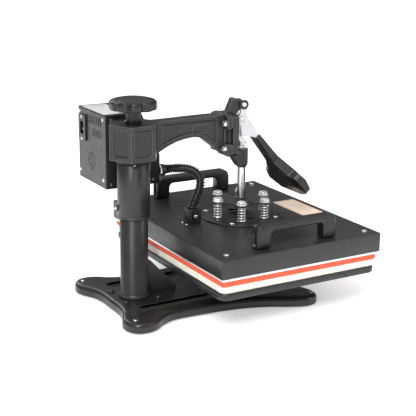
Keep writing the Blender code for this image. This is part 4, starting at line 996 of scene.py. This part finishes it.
def make_spring(number, x, y):
    """A coil spring with closed ends."""
    node = "spring_%d" % number
    low, high = (corner.z for corner in span(node))
    wire, coil, closed_turns = 1.05, 6.2, 0.8
    tall = high - low - 2 * wire
    route = []
    total = int(SPRING_TURNS * 30)
    for step in range(total + 1):
        share = step / total
        rise = (share * SPRING_TURNS - closed_turns) / (SPRING_TURNS - 2 * closed_turns)
        rise = min(max(rise, 0), 1)
        turn = 2 * math.pi * share * SPRING_TURNS + number
        route.append((x + coil * math.cos(turn), y + coil * math.sin(turn),
                      low + wire + tall * (0.06 * share + 0.94 * rise)))
    spring = piece(node + "_finish", tube(route, [wire] * len(route), 10), SPRING_STEEL, "platen", (node,),
                   60)
    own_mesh(spring)


# ---- heated platen ------------------------------------------------------------------
def make_platen():
    """The sheet cover and the heated plate with what lies between them."""
    low, high, outline = footprint("platen_cover", 2.5, 6)
    levels = [(2, high - 2), (2, low), (0.3, low), (0, low + 0.3)] + rolled_edge(2, high)
    piece("platen_cover_finish", shell(outline, levels), PAINT, "platen", ("platen_cover",),
          50)
    low, high, outline = footprint("heating_plate", 3, 6)
    levels = [(0.8, low), (0.2, low + 0.25), (0, low + 0.8), (0, high - 0.6), (0.6, high)]
    piece("heating_plate_finish", shell(outline, levels), ALUMINIUM, "platen", ("heating_plate",),
          50)
    for k, (sx, sy) in enumerate(CORNERS, 1):
        screw("cover_screw_%d" % k, (sx * 174, sy * 134, 0), (0, 0, 1), 4.8, "platen", spin=0.7 * k)
    outline = rounded_rectangle(95, 44, 3, (-2.5, -119), 6)      # a blank label with a printed border
    piece("platen_label", shell(outline, [(0, 0.05), (0, 0.17), (0.1, 0.25)]), PEACH, "platen")
    rim = [(2.5, 0.25), (2.5, 0.31), (4.5, 0.31), (4.5, 0.25)]
    piece("platen_label_border", shell(outline, rim, around=True), PEACH_DARK, "platen")
    element = refined("heating_element", STEEL, "platen", 1.5, 3)
    element.data.shade_smooth()
    low, high, outline = footprint("insulation_blanket", 6, 4)
    blanket = shell(outline, [(1.5, low), (0, low + 2), (0, high - 2), (1.5, high)])
    piece("insulation_finish", blanket, WOOL, "platen", ("insulation_blanket",))


def make_handles():
    """The two bridge handles, each with a bolt in a pocket at both ends."""
    for side, name in SIDES:
        outline = [(-73, 0.3)] + arc(-59, 26, 14, 180, 90, 14) + arc(66, 26, 14, 90, 0, 14) + [(80, 0.3)]
        outline += [(54, 0.3)] + arc(46, 19, 8, 0, 90, 10) + arc(-39, 19, 8, 90, 180, 10) + [(-47, 0.3)]
        obj = piece("handle_%s_finish" % name, prism(outline, *sorted((side * 158, side * 178)), "X"),
                    PLASTIC, "platen", ("handle_" + name,))
        rounded(obj, 3.6, 5, 50)
        for end, face, end_name in ((-1, -73, "front"), (1, 80, "rear")):
            pocket = rounded_rectangle(11, 26, 5, (side * 168, 15.5), 8)
            cut(obj, prism(pocket, *sorted((face + end * 2, face - end * 12)), "Y"))
            bolt = [(0, 0), (4, 0), (4, 3), (3.5, 3.6), (2.2, 3.6), (2, 1.6), (0, 1.6)]
            bm = turn_to(lathe(bolt, 24), (0, end, 0), (side * 168, face - end * 11.9, 14))
            piece("handle_bolt_%s_%s" % (name, end_name), bm, DARK_STEEL, "platen")
        sharpen(obj)


def make_gland():
    sharpen(refined("hose_gland", PLASTIC, "platen", 0.9, 3))
    for side, name in SIDES:
        screw("gland_screw_" + name, (4 + side * 12, 94, 13), (side, 0, 0), 3.4, "platen", spin=0.5)
        foot = (4 + side * 7, 108.5, 0)
        screw("gland_foot_screw_" + name, foot, (0, 0, 1), 2.6, "platen", spin=0.3)


# ---- heater hose --------------------------------------------------------------------
HOSE_POINTS = [
    (46, 127.6, 87), (45.5, 120, 87.3), (42, 111, 88.2), (34, 101, 89), (25, 89, 88), (15.5, 79.5, 81.5),
    (9, 76.5, 70), (5.5, 80, 56), (4.2, 87.5, 41), (4, 93, 30), (4, 94, 22), (4, 94, 13),
]
HOSE_RADIUS, HOSE_VALLEY, HOSE_PITCH = 8.4, 6.3, 3.9
RIB = ((0.0, 0), (0.16, 0), (0.26, 1.3), (0.36, 1.95), (0.5, 2.1), (0.64, 1.95), (0.74, 1.3), (0.84, 0))


def make_hose():
    """A corrugated conduit from the control box to the gland on the cover."""
    line = smooth_route(HOSE_POINTS, 24)
    walk = [0.0]
    for a, b in zip(line, line[1:]):
        walk.append(walk[-1] + (b - a).length)
    total = walk[-1]

    def point_at(distance):
        k = next((i for i, value in enumerate(walk) if value >= distance), len(walk) - 1)
        if k == 0:
            return line[0]
        share = (distance - walk[k - 1]) / (walk[k] - walk[k - 1])
        return line[k - 1].lerp(line[k], min(share, 1))

    ribs = int(total / HOSE_PITCH)
    route, radii = [], []
    for rib in range(ribs):
        for share, height in RIB:
            route.append(point_at((rib + share) * total / ribs))
            radii.append(HOSE_VALLEY + height)
    route.append(point_at(total))
    radii.append(HOSE_VALLEY)
    hose = piece("heater_hose_finish", tube(route, radii, 28), HOSE_PLASTIC, None, ("heater_hose",),
                 60)
    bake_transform(hose)
    x, y, z = 46, span("hose_nut")[1].y, 87
    nut = piece("hose_nut_finish", turn_to(hex_head(20, 3.6), (0, -1, 0), (x, y, z)), CHROME, "head",
                ("hose_nut",), 25)
    rounded(nut, 0.3, 2, 25)
    collar = [(8.6, 0), (10, 0), (10, 3.4), (9.6, 4.6), (9.9, 5), (9.7, 6.4), (8.6, 6.8)]
    piece("hose_nut_collar", turn_to(ring_lathe(collar, 64), (0, -1, 0), (x, y - 3.5, z)), PLASTIC, "head")


# ---- control box --------------------------------------------------------------------
BOX_X, BOX_Y, BOX_Z = (40, 150), (137, 236), (66, 189)
SLOPE, RISE = 34, 74                                 # of the front panel, along y and z
PANEL_LENGTH = math.hypot(SLOPE, RISE)
SHEET = 1.5
INLET_X, INLET_Z = 130, 155


def panel_point(u, v, w):
    """A point on the sloped front panel: u along X, v up the slope, w out of it."""
    along_y, along_z = SLOPE / PANEL_LENGTH, RISE / PANEL_LENGTH
    return Vector((u, BOX_Y[0] + along_y * v - along_z * w, BOX_Z[1] - RISE + along_z * v + along_y * w))


def panel_slab(us, vs, ws, corner):
    """A round-cornered slab standing on the sloped panel."""
    middle = ((us[0] + us[1]) / 2, (vs[0] + vs[1]) / 2)
    outline = rounded_rectangle(us[1] - us[0], vs[1] - vs[0], corner, middle, 6)
    return bridged([[panel_point(u, v, w) for u, v in outline] for w in ws], capped=True)


def make_box_shell():
    """The folded sheet shell, open at the sloped front and at the rear, with its label and screws."""
    (x0, x1), (y0, y1), (z0, z1) = BOX_X, BOX_Y, BOX_Z
    side = [(y0, z0), (y1, z0), (y1, z1), (y0 + SLOPE, z1), (y0, z1 - RISE)]
    # The shell takes the darker paint, whose darkness is painted shade.
    obj = piece("box_shell_finish", prism(side, x0, x1, "X"), SHADED_BOX_PAINT, "head", ("box_shell",))
    rounded(obj, 1.3, 3)
    inside = [(y0 + SHEET, z0 + SHEET), (y1 + 3, z0 + SHEET), (y1 + 3, z1 - SHEET),
              (y0 + SLOPE - 8, z1 - SHEET), (y0 - 8, z1 - RISE + 0.5), (y0 + SHEET, z1 - RISE - 2.5)]
    cut(obj, prism(inside, x0 + SHEET, x1 - SHEET, "X"))
    low, high = span("switch_bezel")
    gap = 1.9
    cut(obj, box((x1 - 4, low.y + gap, low.z + gap), (x1 + 2, high.y - gap, high.z - gap)))
    sharpen(obj)
    outline = rounded_rectangle(92, 44, 3, (97, 212), 6)
    piece("box_label", shell(outline, [(0, z1 + 0.02), (0, z1 + 0.18), (0.1, z1 + 0.25)]), WHITE, "head")
    for x in (52, 138):
        screw("box_top_screw_%d" % x, (x, 179, z1), (0, 0, 1), 2.8, "head", DARK_STEEL, x)
    for y, z in ((150, 74), (226, 74), (226, 181)):
        for (side, name), x in zip(SIDES, BOX_X):
            label = "box_side_screw_%s_%d_%d" % (name, y, z)
            screw(label, (x, y, z), (side, 0, 0), 2.8, "head", DARK_STEEL, y)


def make_box_back():
    """The rear panel with vent slots, a fan grille and corner screws."""
    low, high = span("box_back")
    middle = ((low.x + high.x) / 2, (low.z + high.z) / 2)
    outline = rounded_rectangle(high.x - low.x, high.z - low.z, 1.5, middle, 4)
    back = piece("box_back_finish", prism(outline, low.y, high.y, "Y"), PAINT, "head", ("box_back",))
    holes = [rounded_rectangle(3.4, 15, 1.65, (60 + 7.4 * k, 174.5), 5) for k in range(8)]
    holes += [rounded_rectangle(3.4, 13, 1.65, (60 + 7.4 * k, 153.5), 5) for k in range(5)]
    holes.append(rounded_rectangle(23, 31, 2, (INLET_X, INLET_Z), 4))
    for ring, count in ((5, 6), (9.5, 12), (14, 18)):
        for k in range(count):
            u, v = on_circle(ring, 360 * k / count)
            holes.append(arc(97 + u, 104 + v, 1.5, 0, 330, 11))
    cut(back, merge(bmesh.new(), *(prism(hole, low.y - 1, high.y + 1, "Y") for hole in holes)))
    sharpen(back)
    for name, x, z in (("a", 51, 181), ("b", 51, 80), ("c", 143, 181), ("d", 143, 80)):
        screw("back_screw_" + name, (x, BOX_Y[1], z), (0, 1, 0), 3.2, "head", CHROME, x)


def make_inlet():
    """The mains inlet: a flange, a cup behind it and three pins."""
    low, high = (corner.y for corner in span("power_inlet"))
    face = BOX_Y[1] + 0.3

    def around_inlet(points):
        return [(INLET_X + u, INLET_Z + v) for u, v in points]

    flange = rounded_rectangle(28, 44, 3, (INLET_X, INLET_Z), 6)
    inlet = piece("power_inlet_finish", prism(flange, face, high, "Y"), PLASTIC, "head", ("power_inlet",))
    rounded(inlet, 0.7, 3)
    socket = around_inlet([(-7, -11), (7, -11), (7, 7), (3.6, 11), (-3.6, 11), (-7, 7)])
    cut(inlet, prism(socket, face - 1, high + 1, "Y"))
    cup = around_inlet([(-9, -13), (9, -13), (9, 8), (4.6, 13), (-4.6, 13), (-9, 8)])
    cup = piece("inlet_cup", prism(cup, low, face + 0.2, "Y"), PLASTIC, "head")
    cut(cup, prism(socket, low + 4, face + 3, "Y"))
    for k, (x, z) in enumerate(around_inlet([(-4.2, -4), (4.2, -4), (0, 4)]), 1):
        blade = box((x - 1, low + 3.5, z - 2.4), (x + 1, face - 1, z + 2.4))
        rounded(piece("inlet_pin_%d" % k, blade, CHROME, "head"), 0.4, 2)
    for name, v in (("low", -18.5), ("high", 18.5)):
        place = (INLET_X, high, INLET_Z + v)
        screw("inlet_screw_" + name, place, (0, 1, 0), 3.0, "head", spin=0.9)


def make_front_panel():
    """The sloped operator panel with its display and three keys."""
    x0, x1 = BOX_X[0] + SHEET + 0.3, BOX_X[1] - SHEET - 0.3
    middle = (x0 + x1) / 2
    panel = piece("front_panel_finish", panel_slab((x0, x1), (1, PANEL_LENGTH - 4), (-3, -0.3), 1.5),
                  PLASTIC, "head", ("front_panel",))
    cut(panel, panel_slab((middle - 30.2, middle + 30.2), (39.8, 68.2), (-6, 3), 2))
    keys = [(name, middle + step * 24) for name, step in (("set", -1), ("down", 0), ("up", 1))]
    for _, u in keys:
        cut(panel, panel_slab((u - 7.4, u + 7.4), (14.6, 25.4), (-6, 3), 2.4))
    rounded(panel, 0.3, 2, 40)
    window = piece("display_window_finish", panel_slab((middle - 30, middle + 30), (40, 68), (-3, 0.2), 1.9),
                   GLASS, "head", ("display_window",))
    rounded(window, 0.35, 3)
    rings = []
    for grow, w in ((3.2, -0.28), (3.2, 0.5), (2.6, 1.0), (0.8, 1.0), (0.3, 0.5), (0.3, -0.28)):
        outline = rounded_rectangle(60 + 2 * grow, 28 + 2 * grow, 1.9 + grow, (middle, 54), 8)
        rings.append([panel_point(u, v, w) for u, v in outline])
    piece("display_bezel", bridged(rings, around=True), PLASTIC, "head")
    for name, u in keys:
        cap = panel_slab((u - 7, u + 7), (15, 25), (-2.5, 1.6), 2.2)
        key = piece("button_%s_finish" % name, cap, KEY, name + "_key", ("button_" + name,))
        rounded(key, 0.7, 3)
    out = panel_point(0, 0, 1) - panel_point(0, 0, 0)
    for u in (x0 + 5, x1 - 5):
        for v in (5, PANEL_LENGTH - 9):
            name = "panel_screw_%d_%d" % (u, v)
            screw(name, panel_point(u, v, -0.3), out, 2.4, "head", DARK_STEEL, u)


def make_switch():
    sharpen(refined("switch_bezel", PLASTIC, "head", 0.5, 2))
    sharpen(refined("power_rocker", RED, "rocker", 0.6, 3))


def make_circuit():
    """The controller board with its chips, relay and terminals, behind the front panel."""
    low, high = span("circuit_board")
    board = piece("circuit_board_finish", box(low, high), BOARD, "head", ("circuit_board",))
    rounded(board, 0.3, 1)
    parts = (("relay", (8, 8), (30, 24), 15, PLASTIC), ("chip", (40, 30), (54, 44), 2.4, PLASTIC),
             ("terminals", (8, 60), (60, 70), 9, KEY), ("driver", (62, 12), (76, 34), 6, PLASTIC))
    for name, first, second, tall, mat in parts:
        bm = box((low.x + first[0], high.y - 0.1, low.z + first[1]),
                 (low.x + second[0], high.y + tall, low.z + second[1]))
        rounded(piece("board_" + name, bm, mat, "head"), 0.6, 2)


def main():
    for step in (make_camera, make_light, make_floor, make_base, make_column, make_stand, make_pads,
                 make_knob, make_riser, make_sleeve, make_castings, make_toggle, make_grip,
                 make_spring_plate, make_platen, make_handles, make_gland, make_hose, make_box_shell,
                 make_box_back, make_inlet, make_front_panel, make_switch, make_circuit):
        step()


main()
